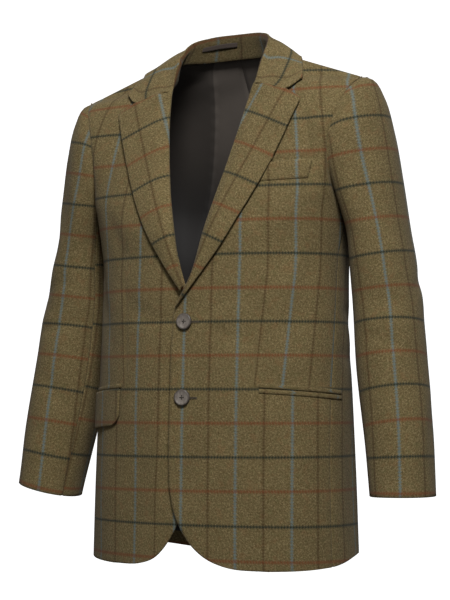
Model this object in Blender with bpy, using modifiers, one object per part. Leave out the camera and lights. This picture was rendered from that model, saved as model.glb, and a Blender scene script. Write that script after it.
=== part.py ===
"""Tweed sports jacket, filled out as it is when worn, with nobody in it.

The cloth is cut in panels: fronts, side panels, backs, two-piece sleeves, a
turned-down collar and turned-back lapels. Each panel is a wall of even
thickness, lofted through sections worked out from the tables below.
Metres, +Z up. The front faces -Y and the wearer's left is +X.
The origin lies between the shoulders, halfway down their slope.
"""
import math

import bpy
import numpy as np
from mathutils import Matrix, Vector

# Walls and gaps
CLOTH_WALL = 0.0020
LAPEL_WALL = 0.0026
COLLAR_WALL = 0.0024
LINING_WALL = 0.0010
TRIM_WALL = 0.0014
SEAM_GAP = 0.0006
LAY_GAP = 0.0004
LINING_EASE = 0.0012
HALF_GAP = SEAM_GAP / 2
SLEEVE_HALF_GAP = 0.95 * SEAM_GAP

# Faces across each panel
FRONT_FACES = 11
SIDE_FACES = 5
BACK_FACES = 9
TOP_SLEEVE_FACES = 14
UNDER_SLEEVE_FACES = 8
POCKET_FACES = 12
FLAP_ROWS = 8
WELT_FACES = 6
LOOP_FACES = 12
SAMPLES_ACROSS = 36
SAMPLES_ALONG = 4
SEARCH_ROUNDS = 25
SEARCH_REACH = 0.15
SEARCH_STEP = 1e-4

# Body rings: angles are degrees from the centre front towards the side
BODY_COLUMNS = ("height", "half_width", "front_depth", "back_depth", "dip", "front_seam", "back_seam")
BODY_SECTIONS = {
    "hem": (-0.692, 0.1945, 0.1400, 0.1400, 0.0155, 72, 117),
    "seat": (-0.600, 0.1915, 0.1400, 0.1380, 0.0070, 72, 117),
    "pocket": (-0.475, 0.1865, 0.1360, 0.1310, 0.000, 75, 115),
    "waist": (-0.370, 0.1825, 0.1300, 0.1240, 0.000, 81, 113),
    "rib": (-0.280, 0.1830, 0.1235, 0.1260, 0.000, 84, 112),
    "underarm": (-0.215, 0.1890, 0.1130, 0.1320, 0.000, 84, 111),
}
SQUARENESS = 2.2
DIP_SPREAD = 4

# Front edge, with the rounded corner at the hem, and the crease that the lapel turns back on.
# Each row of the crease gives its height, its spread from the centre and its depth forward.
FRONT_LAP = 0.018
CORNER_START = -0.545
CORNER_REACH = 0.135
CORNER_STEPS = 7
CORNER_ROUNDNESS = 2.8
ROLL_LINE = {
    "break": (-0.358, -0.0180, 0.1290),
    "crossing": (-0.325, 0.0000, 0.1280),
    "chest": (-0.230, 0.0270, 0.1140),
    "breast": (-0.135, 0.0490, 0.0820),
    "collarbone": (-0.073, 0.0600, 0.0585),
    "gorge": (-0.036, 0.0650, 0.0410),
}
UNDERLAP = 0.0030
UNDERLAP_REACH = 0.060
UNDERLAP_TOP = -0.270
UNDERLAP_FADE = 0.060
UNDERLAP_SWING = 0.012
SWING_FROM = -0.520
SWING_FADE = 0.110

# Shoulder line, neck seam and armhole. Each row of the seam gives spread, distance back and height.
NECK_SEAM = {
    "gorge": (0.0650, -0.0410, -0.036),
    "side": (0.0735, -0.0150, -0.010),
    "shoulder": (0.0765, 0.0030, 0.0145),
    "back": (0.0480, 0.0400, 0.021),
    "centre_back": (0.0000, 0.0510, 0.023),
}
SHOULDER_END = (0.2140, 0.0030, -0.0350)
SHOULDER_LEVEL = 0.008
SHOULDER_TILT = 0.030
SHOULDER_TILT_FROM = -0.400
SHOULDER_TILT_FADE = 0.350
HEM_TILT = 0.022
HEM_TILT_FROM = -0.600
HEM_TILT_FADE = 0.090
CUFF_TILT = 0.120
CUFF_TILT_FROM = -0.500
CUFF_TILT_FADE = 0.100
SLEEVES_BEYOND = 0.205
ARMHOLE_BOTTOM = (0.1900, 0.0040, -0.2150)
ARMHOLE_FRONT = 0.062
ARMHOLE_BACK = 0.066
ARMHOLE_FRONT_INSET = 0.018
ARMHOLE_BACK_INSET = 0.012
FRONT_SEAM_AT_ARMHOLE = 168.0
BACK_SEAM_AT_ARMHOLE = 226.0

# Rows above the underarm: angle at which each one meets the armhole, then the height of the crease,
# the name of a place on the neck seam, or the height and depth of the centre back
FRONT_UPPER = ((168, -0.235), (145, -0.200), (120, -0.160), (95, -0.120), (70, -0.086), (45, -0.058))
FRONT_NECK = ((26, "gorge"), (11, "side"))
BACK_UPPER = (
    (226, -0.200, 0.1330),
    (250, -0.155, 0.1290),
    (275, -0.110, 0.1200),
    (300, -0.065, 0.1050),
    (325, -0.025, 0.0850),
    (345, 0.004, 0.0660),
    (353, 0.014, 0.0605),
)

# Sleeve rings, from the underarm to the cuff
SLEEVE_COLUMNS = ("height", "spread", "back", "half_width", "half_depth")
SLEEVE_SECTIONS = {
    "underarm": (-0.250, 0.2310, 0.0140, 0.0400, 0.0640),
    "upper_arm": (-0.343, 0.2430, 0.0150, 0.0460, 0.0600),
    "elbow": (-0.430, 0.2520, 0.0070, 0.0475, 0.0570),
    "forearm": (-0.530, 0.2665, -0.0050, 0.0460, 0.0530),
    "cuff": (-0.608, 0.2760, -0.0170, 0.0440, 0.0500),
}
SLEEVE_SQUARENESS = 2.15
CAP_STEPS = (0.0, 0.10, 0.25, 0.45, 0.70)
CAP_REACH = 0.105
CAP_FALL = 0.150
UNDERARM_REACH = 0.030
CAP_OUT = 0.12
CAP_FORWARD = 0.35
CAP_RISE = 0.16
SLEEVE_RING_STEPS = 3
SLEEVE_SLOPE_STEP = 0.010
CUFF_LEVEL_FROM = 0.150
SLEEVE_SEAMS = (-125.0, 146.0)
SLEEVE_SEAM_ROUND = 235.0
FULLER_SHARE = 0.09
FULLER_FADE = 0.100

# Sleeve folds: place down the sleeve, place round it (degrees from the outside to the front), reach, depth
FOLD_COLUMNS = ("height", "angle", "half_length", "half_height", "depth", "slant")
SLEEVE_FOLDS = (
    (-0.300, 40, 55, 0.016, 0.0035, 0.10),
    (-0.345, 62, 50, 0.013, 0.0030, -0.12),
    (-0.385, -60, 45, 0.015, 0.0025, 0.10),
    (-0.250, 65, 40, 0.016, 0.0030, 0.16),
)

# Collar: fold at its top and outer edge of the fall, from the centre back to the notch.
# Each row gives spread, distance back and height.
COLLAR_FOLD = {
    "centre_back": (0.0000, 0.0480, 0.0545),
    "back": (0.0400, 0.0380, 0.0515),
    "shoulder": (0.0640, 0.0120, 0.0380),
    "side": (0.0680, -0.0215, 0.0000),
    "gorge": (0.0650, -0.0410, -0.0360),
}
COLLAR_EDGE = {
    "centre_back": (0.0000, 0.0740, 0.0060),
    "back": (0.0720, 0.0580, 0.0040),
    "shoulder": (0.1135, 0.0080, 0.0065),
    "side": (0.1290, -0.0200, -0.0130),
    "gorge": (0.1368, -0.0400, -0.0320),
}
COLLAR_STATIONS = (0.0, 1.0, 2.0, 3.0, 4.0)
COLLAR_STEPS = 18
FOLD_RADIUS = 0.0036
FALL_SHARES = (0.34, 0.68)
FALL_FULLNESS = (0.0021, 0.0018)
STAND_HOLLOW = 0.0006
STAND_INSET = 0.0042
STAND_LEAST = 0.0060
COLLAR_EASE = 0.0032
GORGE_GAP = 0.0016

# Lapels: notch and peak as spread and height on the chest
LAPEL_NOTCH = (0.1165, -0.0500)
LAPEL_PEAK = (0.1415, -0.0660)
LAPEL_BELLY = 0.018
LAPEL_LIFT = 0.0024
CREASE_LIFT = 0.0005
CREASE_TURN = 0.25
LAPEL_SHARES = (0.0, 0.08, 0.25, 0.46, 0.68, 0.84, 1.0)
LAPEL_ROWS = 10
LAPEL_ROWS_TO = 0.86
LAPEL_LAST_ROW = 0.94
LAPEL_FLAT_FROM = 0.9
LAPEL_FULLNESS = 0.0030
LAPEL_TIP_LEFT = 0.03
LAPEL_TIP_RIGHT = 0.115
LAPEL_TOP = 0.988
NOTCH_SHARPNESS = 9
NOTCH_SHARE = LAPEL_SHARES[4]

# Pockets
WELT_INNER = (0.0760, -0.1800)
WELT_OUTER = (0.1600, -0.1770)
WELT_WIDTH = 0.0250
POCKET_ANGLES = (32.5, 84.0)
POCKET_HEIGHTS = (-0.4620, -0.4710)
JET_WIDTH = 0.0054
SLIT = 0.0006
FLAP_LENGTH = 0.0500
FLAP_CORNER = 0.0180
FLAP_LIFT = 0.0022

# Buttons and hanger loop
BUTTON_HEIGHTS = {"button_upper": -0.370, "button_lower": -0.4745}
BUTTON_RADIUS = 0.0115
BUTTON_THICKNESS = 0.0042
BUTTON_TURN_STEPS = 24
# Section of a button: distance in from its edge and height above its back
BUTTON_SECTION = {
    "middle": (0.0115, 0.0030),
    "dish": (0.0063, 0.0030),
    "slope": (0.0034, 0.0038),
    "rim": (0.0018, 0.0042),
    "shoulder": (0.0005, 0.0036),
    "edge": (0.0000, 0.0021),
    "back": (0.0013, 0.0000),
    "back_middle": (0.0115, 0.0000),
}
BUTTON_HOLE = 0.0010
BUTTON_HOLE_SPACING = 0.0024
LOOP_MIDDLE = -0.70
LOOP_LENGTH = 0.056
LOOP_WIDTH = 0.0055
LOOP_SHARE = 0.62
HEM_TURN_ROWS = 2
LINING_TOP_ROWS = 2
LINING_BELOW_NECK = 0.004

# Colours as linear red, green and blue, with roughness
FINISHES = {
    "tweed": ((0.118, 0.088, 0.040), 0.92),
    "tweed_shaded": ((0.094, 0.070, 0.033), 0.92),
    "lining": ((0.022, 0.018, 0.016), 0.55),
    "horn": ((0.150, 0.125, 0.105), 0.38),
    "tape": ((0.024, 0.017, 0.013), 0.70),
}


def smooth(knots, values, at):
    """Point at one place on the smooth curve through the values at the knots."""
    knots = np.asarray(knots, dtype=float)
    values = np.asarray(values, dtype=float)
    steps = np.diff(knots)
    slopes = np.diff(values, axis=0) / steps[:, None]
    weights = steps[:-1] + steps[1:]
    inner = (slopes[:-1] * steps[1:, None] + slopes[1:] * steps[:-1, None]) / weights[:, None]
    tangents = np.vstack([slopes[:1], inner, slopes[-1:]])
    span = int(np.clip(np.searchsorted(knots, at) - 1, 0, len(steps) - 1))
    step = steps[span]
    f = (at - knots[span]) / step
    start = (2 * f**3 - 3 * f**2 + 1) * values[span] + (f**3 - 2 * f**2 + f) * step * tangents[span]
    end = (3 * f**2 - 2 * f**3) * values[span + 1] + (f**3 - f**2) * step * tangents[span + 1]
    return start + end


def ease(f):
    """Smooth step from 0 to 1."""
    f = min(max(f, 0.0), 1.0)
    return f * f * (3 - 2 * f)


def power(value, exponent):
    """Power that keeps the sign of its base."""
    return math.copysign(abs(value) ** exponent, value)


def unit(vector):
    """Vector of length one."""
    return vector / np.linalg.norm(vector)


def body_section(height):
    """Named sizes of the body's ring at one height."""
    rows = sorted(BODY_SECTIONS.values())
    values = smooth([row[0] for row in rows], rows, height)
    return dict(zip(BODY_COLUMNS, values))


def body_point(height, angle):
    """Point on the body's ring at one height and angle."""
    ring = body_section(height)
    turn = math.radians(angle)
    in_front = abs(angle) < 90
    depth = ring["front_depth"] if in_front else ring["back_depth"]
    x = ring["half_width"] * power(math.sin(turn), 2 / SQUARENESS)
    y = -depth * power(math.cos(turn), 2 / SQUARENESS)
    low = 1 - (abs(angle) / 90) ** DIP_SPREAD if in_front else math.cos(turn) ** 2
    z = height - ring["dip"] * low
    return np.array([x, y, z])


def body_angle(height, spread):
    """Angle on the front half of the ring at which it is a given distance from the centre."""
    share = spread / body_section(height)["half_width"]
    return math.degrees(math.asin(power(share, SQUARENESS / 2)))


def roll_point(height):
    """Point on the crease of the wearer's left lapel."""
    rows = sorted(ROLL_LINE.values())
    _, spread, depth = smooth([row[0] for row in rows], rows, height)
    return np.array([spread, -depth, height])


def edge_spread(height):
    """Distance of the left front's edge from the centre, below the lapel's crease."""
    depth = CORNER_START - BODY_SECTIONS["hem"][0]
    drop = min(max((CORNER_START - height) / depth, 0.0), 1.0)
    return CORNER_REACH * (1 - (1 - drop**CORNER_ROUNDNESS) ** (1 / CORNER_ROUNDNESS)) - FRONT_LAP


def armhole_point(angle):
    """Point on the armhole: 0 at the shoulder, 90 at the front, 180 under the arm, 270 at the back."""
    turn = math.radians(angle)
    top = np.array(SHOULDER_END)
    bottom = np.array(ARMHOLE_BOTTOM)
    point = bottom + (top - bottom) * (1 + math.cos(turn)) / 2
    forward = math.sin(turn) > 0
    width = ARMHOLE_FRONT if forward else ARMHOLE_BACK
    inset = ARMHOLE_FRONT_INSET if forward else ARMHOLE_BACK_INSET
    point[0] -= inset * math.sin(turn) ** 2
    point[1] -= width * math.sin(turn)
    return point


def ring_row(height, start_angle, end_angle):
    """Row of a panel along the body's ring."""
    return lambda s: body_point(height, start_angle + (end_angle - start_angle) * s)


def rounded_row(inner, outer):
    """Row of a panel from a point near the centre, round to a point near the side."""
    def row(s):
        turn = math.radians(90 * s)
        across = power(math.sin(turn), 2 / SQUARENESS)
        x = inner[0] + (outer[0] - inner[0]) * across
        y = outer[1] + (inner[1] - outer[1]) * power(math.cos(turn), 2 / SQUARENESS)
        z = inner[2] + (outer[2] - inner[2]) * across
        return np.array([x, y, z])
    return row


def shifted_row(row, shift):
    """Row moved bodily."""
    return lambda s: row(s) + np.array(shift)


class Loft:
    """Smooth surface through rows that run across a panel, one above the other."""

    def __init__(self, rows):
        self.rows = rows
        probes = np.array([[row(s) for s in (0.0, 0.3, 0.6, 1.0)] for row in rows])
        lengths = np.linalg.norm(np.diff(probes, axis=0), axis=2).mean(axis=1)
        self.knots = np.concatenate([[0.0], np.cumsum(lengths)])

    def point(self, s, t):
        return smooth(self.knots, [row(s) for row in self.rows], t)

    def grid(self, across, parts=1):
        places = [0.0]
        for low, high in zip(self.knots[:-1], self.knots[1:]):
            places += [low + (high - low) * (k + 1) / parts for k in range(parts)]
        columns = []
        for k in range(across + 1):
            values = [row(k / across) for row in self.rows]
            columns.append([smooth(self.knots, values, t) for t in places])
        return np.array(columns).transpose(1, 0, 2)

    def normal(self, s, t):
        step = SEARCH_STEP
        along_s = self.point(min(s + step, 1.0), t) - self.point(max(s - step, 0.0), t)
        along_t = self.point(s, t + step) - self.point(s, t - step)
        return unit(np.cross(along_s, along_t))


def ring_heights():
    """Heights of the body's rings, from the hem to the ribs, close together at the rounded corner."""
    hem = BODY_SECTIONS["hem"][0]
    pocket = BODY_SECTIONS["pocket"][0]
    waist = BODY_SECTIONS["waist"][0]
    turns = [math.radians(90 * k / CORNER_STEPS) for k in range(CORNER_STEPS, -1, -1)]
    drops = [math.sin(turn) ** (2 / CORNER_ROUNDNESS) for turn in turns]
    corner = [CORNER_START + (hem - CORNER_START) * drop for drop in drops]
    middle = [pocket, (pocket + waist) / 2, waist]
    return corner + middle + [ROLL_LINE["break"][0], ROLL_LINE["crossing"][0], BODY_SECTIONS["rib"][0]]


def front_loft():
    """Outer face of the wearer's left front, from the hem to the shoulder seam."""
    rows = []
    for height in ring_heights():
        rolled = height >= ROLL_LINE["break"][0]
        spread = roll_point(height)[0] if rolled else edge_spread(height)
        rows.append(ring_row(height, body_angle(height, spread), body_section(height)["front_seam"]))
    for angle, height in FRONT_UPPER:
        rows.append(rounded_row(roll_point(height), armhole_point(angle)))
    for angle, name in FRONT_NECK:
        rows.append(rounded_row(np.array(NECK_SEAM[name]), armhole_point(angle)))
    seam = rounded_row(np.array(NECK_SEAM["shoulder"]), np.array(SHOULDER_END))
    rows.append(shifted_row(seam, (0, -SHOULDER_LEVEL, 0)))
    rows.append(seam)
    return Loft(rows)


def side_loft():
    """Outer face of the wearer's left side panel, from the hem to the armhole."""
    rows = []
    for height in ring_heights():
        ring = body_section(height)
        rows.append(ring_row(height, ring["front_seam"], ring["back_seam"]))
    spread = BACK_SEAM_AT_ARMHOLE - FRONT_SEAM_AT_ARMHOLE
    rows.append(lambda s: armhole_point(FRONT_SEAM_AT_ARMHOLE + spread * s))
    return Loft(rows)


def neck_and_shoulder_row():
    """Top of a back: round the back of the neck and out along the shoulder seam."""
    seam = rounded_row(np.array(NECK_SEAM["centre_back"]), np.array(SHOULDER_END))
    neck = np.array(NECK_SEAM["shoulder"])
    shoulder = np.array(SHOULDER_END)
    curve = np.array([NECK_SEAM[name] for name in ("centre_back", "back", "shoulder")])

    def row(s):
        x = seam(s)[0]
        if x < neck[0]:
            low = 0.0
            high = 2.0
            for _ in range(40):
                middle = (low + high) / 2
                if smooth((0, 1, 2), curve, middle)[0] < x:
                    low = middle
                else:
                    high = middle
            return smooth((0, 1, 2), curve, low)
        return neck + (shoulder - neck) * (x - neck[0]) / (shoulder[0] - neck[0])
    return row


def back_loft():
    """Outer face of the wearer's left back, from the hem to the neck and the shoulder seam."""
    rows = [ring_row(height, 180, body_section(height)["back_seam"]) for height in ring_heights()]
    for angle, height, depth in BACK_UPPER:
        rows.append(rounded_row(np.array([0, depth, height]), armhole_point(angle)))
    seam = neck_and_shoulder_row()
    rows.append(shifted_row(seam, (0, SHOULDER_LEVEL, 0)))
    rows.append(seam)
    return Loft(rows)


def sleeve_ring(height, angle):
    """Point on the left sleeve's ring: angle 0 outside, 90 in front, 180 next to the body."""
    rows = sorted(SLEEVE_SECTIONS.values())
    heights = [row[0] for row in rows]
    ring = dict(zip(SLEEVE_COLUMNS, smooth(heights, rows, height)))
    step = SLEEVE_SLOPE_STEP
    lean = (smooth(heights, rows, height + step) - smooth(heights, rows, height - step)) / (2 * step)
    turn = math.radians(angle)
    fold = 0.0
    for row in SLEEVE_FOLDS:
        crease = dict(zip(FOLD_COLUMNS, row))
        away = (angle - crease["angle"] + 180) % 360 - 180
        level = crease["height"] + crease["slant"] * math.radians(away) * ring["half_depth"]
        down = (height - level) / crease["half_height"]
        fold += crease["depth"] * math.exp(-(down**2) - (away / crease["half_length"]) ** 2)
    x = ring["spread"] + (ring["half_width"] - fold) * power(math.cos(turn), 2 / SLEEVE_SQUARENESS)
    y = ring["back"] - (ring["half_depth"] - fold) * power(math.sin(turn), 2 / SLEEVE_SQUARENESS)
    slope = lean[2] * ease((height - SLEEVE_SECTIONS["cuff"][0]) / CUFF_LEVEL_FROM)
    z = height - lean[1] * (x - ring["spread"]) - slope * (y - ring["back"])
    return np.array([x, y, z])


def cap_point(angle, f):
    """Point on the sleeve head, between the armhole and the first ring of the sleeve."""
    turn = math.radians(angle)
    top_share = (1 + math.cos(turn)) / 2
    rise = CAP_RISE * top_share - (1 - top_share)
    way = unit(np.array([CAP_OUT + top_share, -CAP_FORWARD * math.sin(turn), rise]))
    height = SLEEVE_SECTIONS["underarm"][0]
    start = armhole_point(angle) + way * SEAM_GAP
    start[0] += SEAM_GAP
    end = sleeve_ring(height, angle)
    leave = way * (UNDERARM_REACH + (CAP_REACH - UNDERARM_REACH) * top_share)
    below = unit(sleeve_ring(height - 2 * SLEEVE_SLOPE_STEP, angle) - end)
    arrive = below * (UNDERARM_REACH + (CAP_FALL - UNDERARM_REACH) * top_share)
    return (
        (2 * f**3 - 3 * f**2 + 1) * start + (f**3 - 2 * f**2 + f) * leave
        + (3 * f**2 - 2 * f**3) * end + (f**3 - f**2) * arrive
    )


def sleeve_loft(start_angle, end_angle):
    """Outer face of part of the left sleeve, from the armhole to the cuff."""
    turn = end_angle - start_angle
    rows = [lambda s, f=f: cap_point(start_angle + turn * s, f) for f in CAP_STEPS]
    heights = [row[0] for row in SLEEVE_SECTIONS.values()]
    for low, high in zip(heights[:-1], heights[1:]):
        for part in range(SLEEVE_RING_STEPS):
            height = low + (high - low) * part / SLEEVE_RING_STEPS
            rows.append(lambda s, h=height: sleeve_ring(h, start_angle + turn * s))
    rows.append(lambda s: sleeve_ring(heights[-1], start_angle + turn * s))
    return Loft(rows)


def inset(grid, left=0.0, right=0.0, bottom=0.0, top=0.0):
    """Grid with its edges drawn in, to leave the gaps of the seams."""
    grid = grid.copy()

    def draw(edge, beside, distance):
        away = beside - edge
        return edge + away * (distance / np.linalg.norm(away, axis=1))[:, None]

    if left:
        grid[:, 0] = draw(grid[:, 0], grid[:, 1], left)
    if right:
        grid[:, -1] = draw(grid[:, -1], grid[:, -2], right)
    if bottom:
        grid[0] = draw(grid[0], grid[1], bottom)
    if top:
        grid[-1] = draw(grid[-1], grid[-2], top)
    return grid


def grid_normals(grid):
    """Normals of a grid, from the directions across and along it."""
    across = np.gradient(grid, axis=1)
    along = np.gradient(grid, axis=0)
    normals = np.cross(across, along)
    return normals / np.linalg.norm(normals, axis=2)[:, :, None]


def moved_out(grid, distance):
    """Grid moved out along its normals."""
    return grid + grid_normals(grid) * distance


def mirrored(grid):
    """Grid on the other side of the wearer, with its columns turned so that it still faces out."""
    return grid[:, ::-1] * np.array([-1.0, 1.0, 1.0])


def underlapped(grid):
    """The wearer's right front near the centre, moved in under the left one and swung away at the hem."""
    grid = grid.copy()
    for point in grid.reshape(-1, 3):
        near = ease((UNDERLAP_REACH + point[0]) / UNDERLAP_REACH)
        low = ease((UNDERLAP_TOP + UNDERLAP_FADE - point[2]) / UNDERLAP_FADE)
        point[1] += UNDERLAP * near * low
        point[0] -= UNDERLAP_SWING * near * ease((SWING_FROM - point[2]) / SWING_FADE)
    return grid


def tilted(grid):
    """Pose: the wearer's left shoulder is held a little higher; the left hem and cuff hang a little lower."""
    grid = grid.copy()
    for point in grid.reshape(-1, 3):
        shoulder = SHOULDER_TILT * ease((point[2] - SHOULDER_TILT_FROM) / SHOULDER_TILT_FADE)
        hem = HEM_TILT * ease((HEM_TILT_FROM - point[2]) / HEM_TILT_FADE)
        cuff = 0.0
        if abs(point[0]) > SLEEVES_BEYOND:
            cuff = CUFF_TILT * ease((CUFF_TILT_FROM - point[2]) / CUFF_TILT_FADE)
        middle = math.copysign(SLEEVE_SECTIONS["cuff"][1], point[0])
        point[2] += point[0] * (shoulder - hem) - (point[0] - middle) * cuff
    return grid


def finish(name):
    """Material of one piece, made once."""
    material = bpy.data.materials.get(name)
    if material is None:
        material = bpy.data.materials.new(name)
        material.use_nodes = True
        colour, roughness = FINISHES[name]
        shader = material.node_tree.nodes["Principled BSDF"]
        shader.inputs["Base Color"].default_value = (*colour, 1.0)
        shader.inputs["Roughness"].default_value = roughness
        shader.inputs["Metallic"].default_value = 0.0
    return material


def add_object(name, mesh, finish_name, collection):
    """Object for one piece, in its collection."""
    mesh.materials.append(finish(finish_name))
    piece = bpy.data.objects.new(name, mesh)
    collection.objects.link(piece)
    return piece


def cloth(name, grid, wall, finish_name, collection):
    """Wall of cloth whose outer face is the grid."""
    rows, columns = grid.shape[:2]
    faces = []
    for row in range(rows - 1):
        for column in range(columns - 1):
            first = row * columns + column
            faces.append((first, first + 1, first + 1 + columns, first + columns))
    mesh = bpy.data.meshes.new(name)
    mesh.from_pydata(tilted(grid).reshape(-1, 3).tolist(), [], faces)
    mesh.shade_smooth()
    piece = add_object(name, mesh, finish_name, collection)
    thickness = piece.modifiers.new("wall", "SOLIDIFY")
    thickness.thickness = wall
    thickness.offset = -1.0
    thickness.use_even_offset = True
    return piece


FRONT = front_loft()
BACK = back_loft()


def on_front(spread, height):
    """Point and normal of the left front at a distance from the centre and a height."""
    limits = np.array([1.0, FRONT.knots[-1]])
    guess = limits / 2
    target = np.array([spread, height])
    step = SEARCH_STEP
    for _ in range(SEARCH_ROUNDS):
        here = FRONT.point(*guess)
        miss = target - here[[0, 2]]
        across = (FRONT.point(guess[0] + step, guess[1]) - here)[[0, 2]] / step
        along = (FRONT.point(guess[0], guess[1] + step) - here)[[0, 2]] / step
        move = np.linalg.solve(np.column_stack([across, along]), miss)
        guess = np.clip(guess + np.clip(move, -SEARCH_REACH, SEARCH_REACH), 0.0, limits)
    return FRONT.point(*guess), FRONT.normal(*guess)


def add_body(collection):
    """Fronts, side panels, backs and the back lining."""
    front = inset(FRONT.grid(FRONT_FACES), right=HALF_GAP, top=HALF_GAP)
    cloth("front_left", front, CLOTH_WALL, "tweed", collection)
    right = underlapped(mirrored(front))
    cloth("front_right", right, CLOTH_WALL, "tweed", collection)
    side = inset(side_loft().grid(SIDE_FACES), left=HALF_GAP, right=HALF_GAP)
    cloth("side_left", side, CLOTH_WALL, "tweed_shaded", collection)
    cloth("side_right", mirrored(side), CLOTH_WALL, "tweed_shaded", collection)
    surface = BACK.grid(BACK_FACES)[:, ::-1]
    back = inset(surface, left=HALF_GAP, right=HALF_GAP, top=HALF_GAP)
    cloth("back_left", back, CLOTH_WALL, "tweed", collection)
    cloth("back_right", mirrored(back), CLOTH_WALL, "tweed", collection)
    lining = moved_out(surface[HEM_TURN_ROWS:-LINING_TOP_ROWS], -(CLOTH_WALL + LINING_EASE))
    lining = inset(lining, left=2 * SEAM_GAP, right=2 * SEAM_GAP, top=LINING_BELOW_NECK)
    cloth("lining_back_left", lining, LINING_WALL, "lining", collection)
    cloth("lining_back_right", mirrored(lining), LINING_WALL, "lining", collection)


def fuller(grid):
    """The sleeve that hangs fuller, widened between the underarm and the cuff."""
    rows = sorted(SLEEVE_SECTIONS.values())
    heights = [row[0] for row in rows]
    grid = grid.copy()
    for point in grid.reshape(-1, 3):
        height = min(max(point[2], heights[0]), heights[-1])
        low = ease((heights[-1] - height) / FULLER_FADE) * ease((height - heights[0]) / FULLER_FADE)
        point[0] += (point[0] - smooth(heights, rows, height)[1]) * FULLER_SHARE * low
    return grid


def add_sleeves(collection):
    """Top and under sleeves, lofted from the armhole to the cuff."""
    back_seam, front_seam = SLEEVE_SEAMS
    top = sleeve_loft(back_seam, front_seam).grid(TOP_SLEEVE_FACES)
    top = inset(top, left=SLEEVE_HALF_GAP, right=SLEEVE_HALF_GAP)
    under = sleeve_loft(front_seam, SLEEVE_SEAM_ROUND).grid(UNDER_SLEEVE_FACES)
    under = inset(under, left=SLEEVE_HALF_GAP, right=SLEEVE_HALF_GAP)
    cloth("top_sleeve_left", top, CLOTH_WALL, "tweed", collection)
    cloth("top_sleeve_right", mirrored(fuller(top)), CLOTH_WALL, "tweed", collection)
    cloth("under_sleeve_left", under, CLOTH_WALL, "tweed_shaded", collection)
    cloth("under_sleeve_right", mirrored(fuller(under)), CLOTH_WALL, "tweed_shaded", collection)


def panel_samples():
    """Points and normals spread over the left front and back, for what rests on them."""
    front = FRONT.grid(SAMPLES_ACROSS, SAMPLES_ALONG)
    back = BACK.grid(SAMPLES_ACROSS, SAMPLES_ALONG)[:, ::-1]
    points = np.concatenate([front.reshape(-1, 3), back.reshape(-1, 3)])
    normals = np.concatenate([grid_normals(front).reshape(-1, 3), grid_normals(back).reshape(-1, 3)])
    return points, normals


PANEL_POINTS, PANEL_NORMALS = panel_samples()


def resting(point, clearance):
    """Point moved out from the panels under it, where it is nearer to them than the clearance."""
    nearest = int(np.argmin(np.linalg.norm(PANEL_POINTS - point, axis=1)))
    normal = PANEL_NORMALS[nearest]
    height = float(np.dot(point - PANEL_POINTS[nearest], normal))
    return point + normal * max(0.0, clearance - height)


def collar_section(station):
    """Points across the collar at one station: up the stand, over the fold and down the fall."""
    names = tuple(COLLAR_FOLD)
    seam_names = ("centre_back", "back", "shoulder", "side", "gorge")
    fold = smooth(COLLAR_STATIONS, [COLLAR_FOLD[name] for name in names], station)
    edge = smooth(COLLAR_STATIONS, [COLLAR_EDGE[name] for name in names], station)
    seam = smooth(COLLAR_STATIONS, [NECK_SEAM[name] for name in seam_names], station)
    out = edge - fold
    out[2] = 0.0
    out = unit(out)
    up = np.array([0.0, 0.0, 1.0])
    foot = seam - out * STAND_INSET
    foot[2] = min(foot[2], fold[2] - STAND_LEAST)
    at_gorge = ease(station - COLLAR_STATIONS[-2])
    notch, normal = on_front(LAPEL_NOTCH[0], LAPEL_NOTCH[1] + GORGE_GAP)
    notch = notch + normal * (LAPEL_LIFT + LAPEL_WALL)
    clearance = COLLAR_WALL + COLLAR_EASE
    inner = fold - out * FOLD_RADIUS - up * FOLD_RADIUS
    fold = resting(fold, clearance) + up * GORGE_GAP * at_gorge
    outer = fold + out * FOLD_RADIUS - up * FOLD_RADIUS
    middle = (foot + inner) / 2 - out * STAND_HOLLOW
    upper, lower = (
        outer + (edge - outer) * share + (out + up) * full for share, full in zip(FALL_SHARES, FALL_FULLNESS)
    )
    upper += ((outer + notch) / 2 - upper) * at_gorge
    lower += (notch - lower) * at_gorge
    fall = [resting(point, clearance) for point in (outer, upper, lower, edge)]
    return np.array([foot, middle, inner, fold, *fall])


def add_collar(collection):
    """Collar in one turned-down piece, from notch to notch, with the hanger loop inside it."""
    stations = np.linspace(0, COLLAR_STATIONS[-1], COLLAR_STEPS // 2 + 1)
    half = np.array([collar_section(station) for station in stations]).transpose(1, 0, 2)
    other = half[:, :0:-1] * np.array([-1.0, 1.0, 1.0])
    cloth("collar", np.concatenate([other, half], axis=1), COLLAR_WALL, "tweed", collection)
    reach = LOOP_LENGTH / 2 / COLLAR_FOLD["back"][0]
    low = LOOP_SHARE - LOOP_WIDTH / 2 / (COLLAR_FOLD["centre_back"][2] - NECK_SEAM["centre_back"][2])
    high = 2 * LOOP_SHARE - low
    rows = []
    for share in (low, high):
        row = []
        for station in np.linspace(LOOP_MIDDLE - reach, LOOP_MIDDLE + reach, LOOP_FACES + 1):
            section = collar_section(abs(station))
            point = section[0] + (section[2] - section[0]) * share
            out = unit((section[-1] - section[3]) * np.array([1.0, 1.0, 0.0]))
            point[0] *= math.copysign(1, station)
            out[0] *= math.copysign(1, station)
            point -= out * (TRIM_WALL + 5 * LAY_GAP)
            row.append(point)
        rows.append(row)
    cloth("hanger_loop", np.array(rows), TRIM_WALL, "tape", collection)


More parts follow.
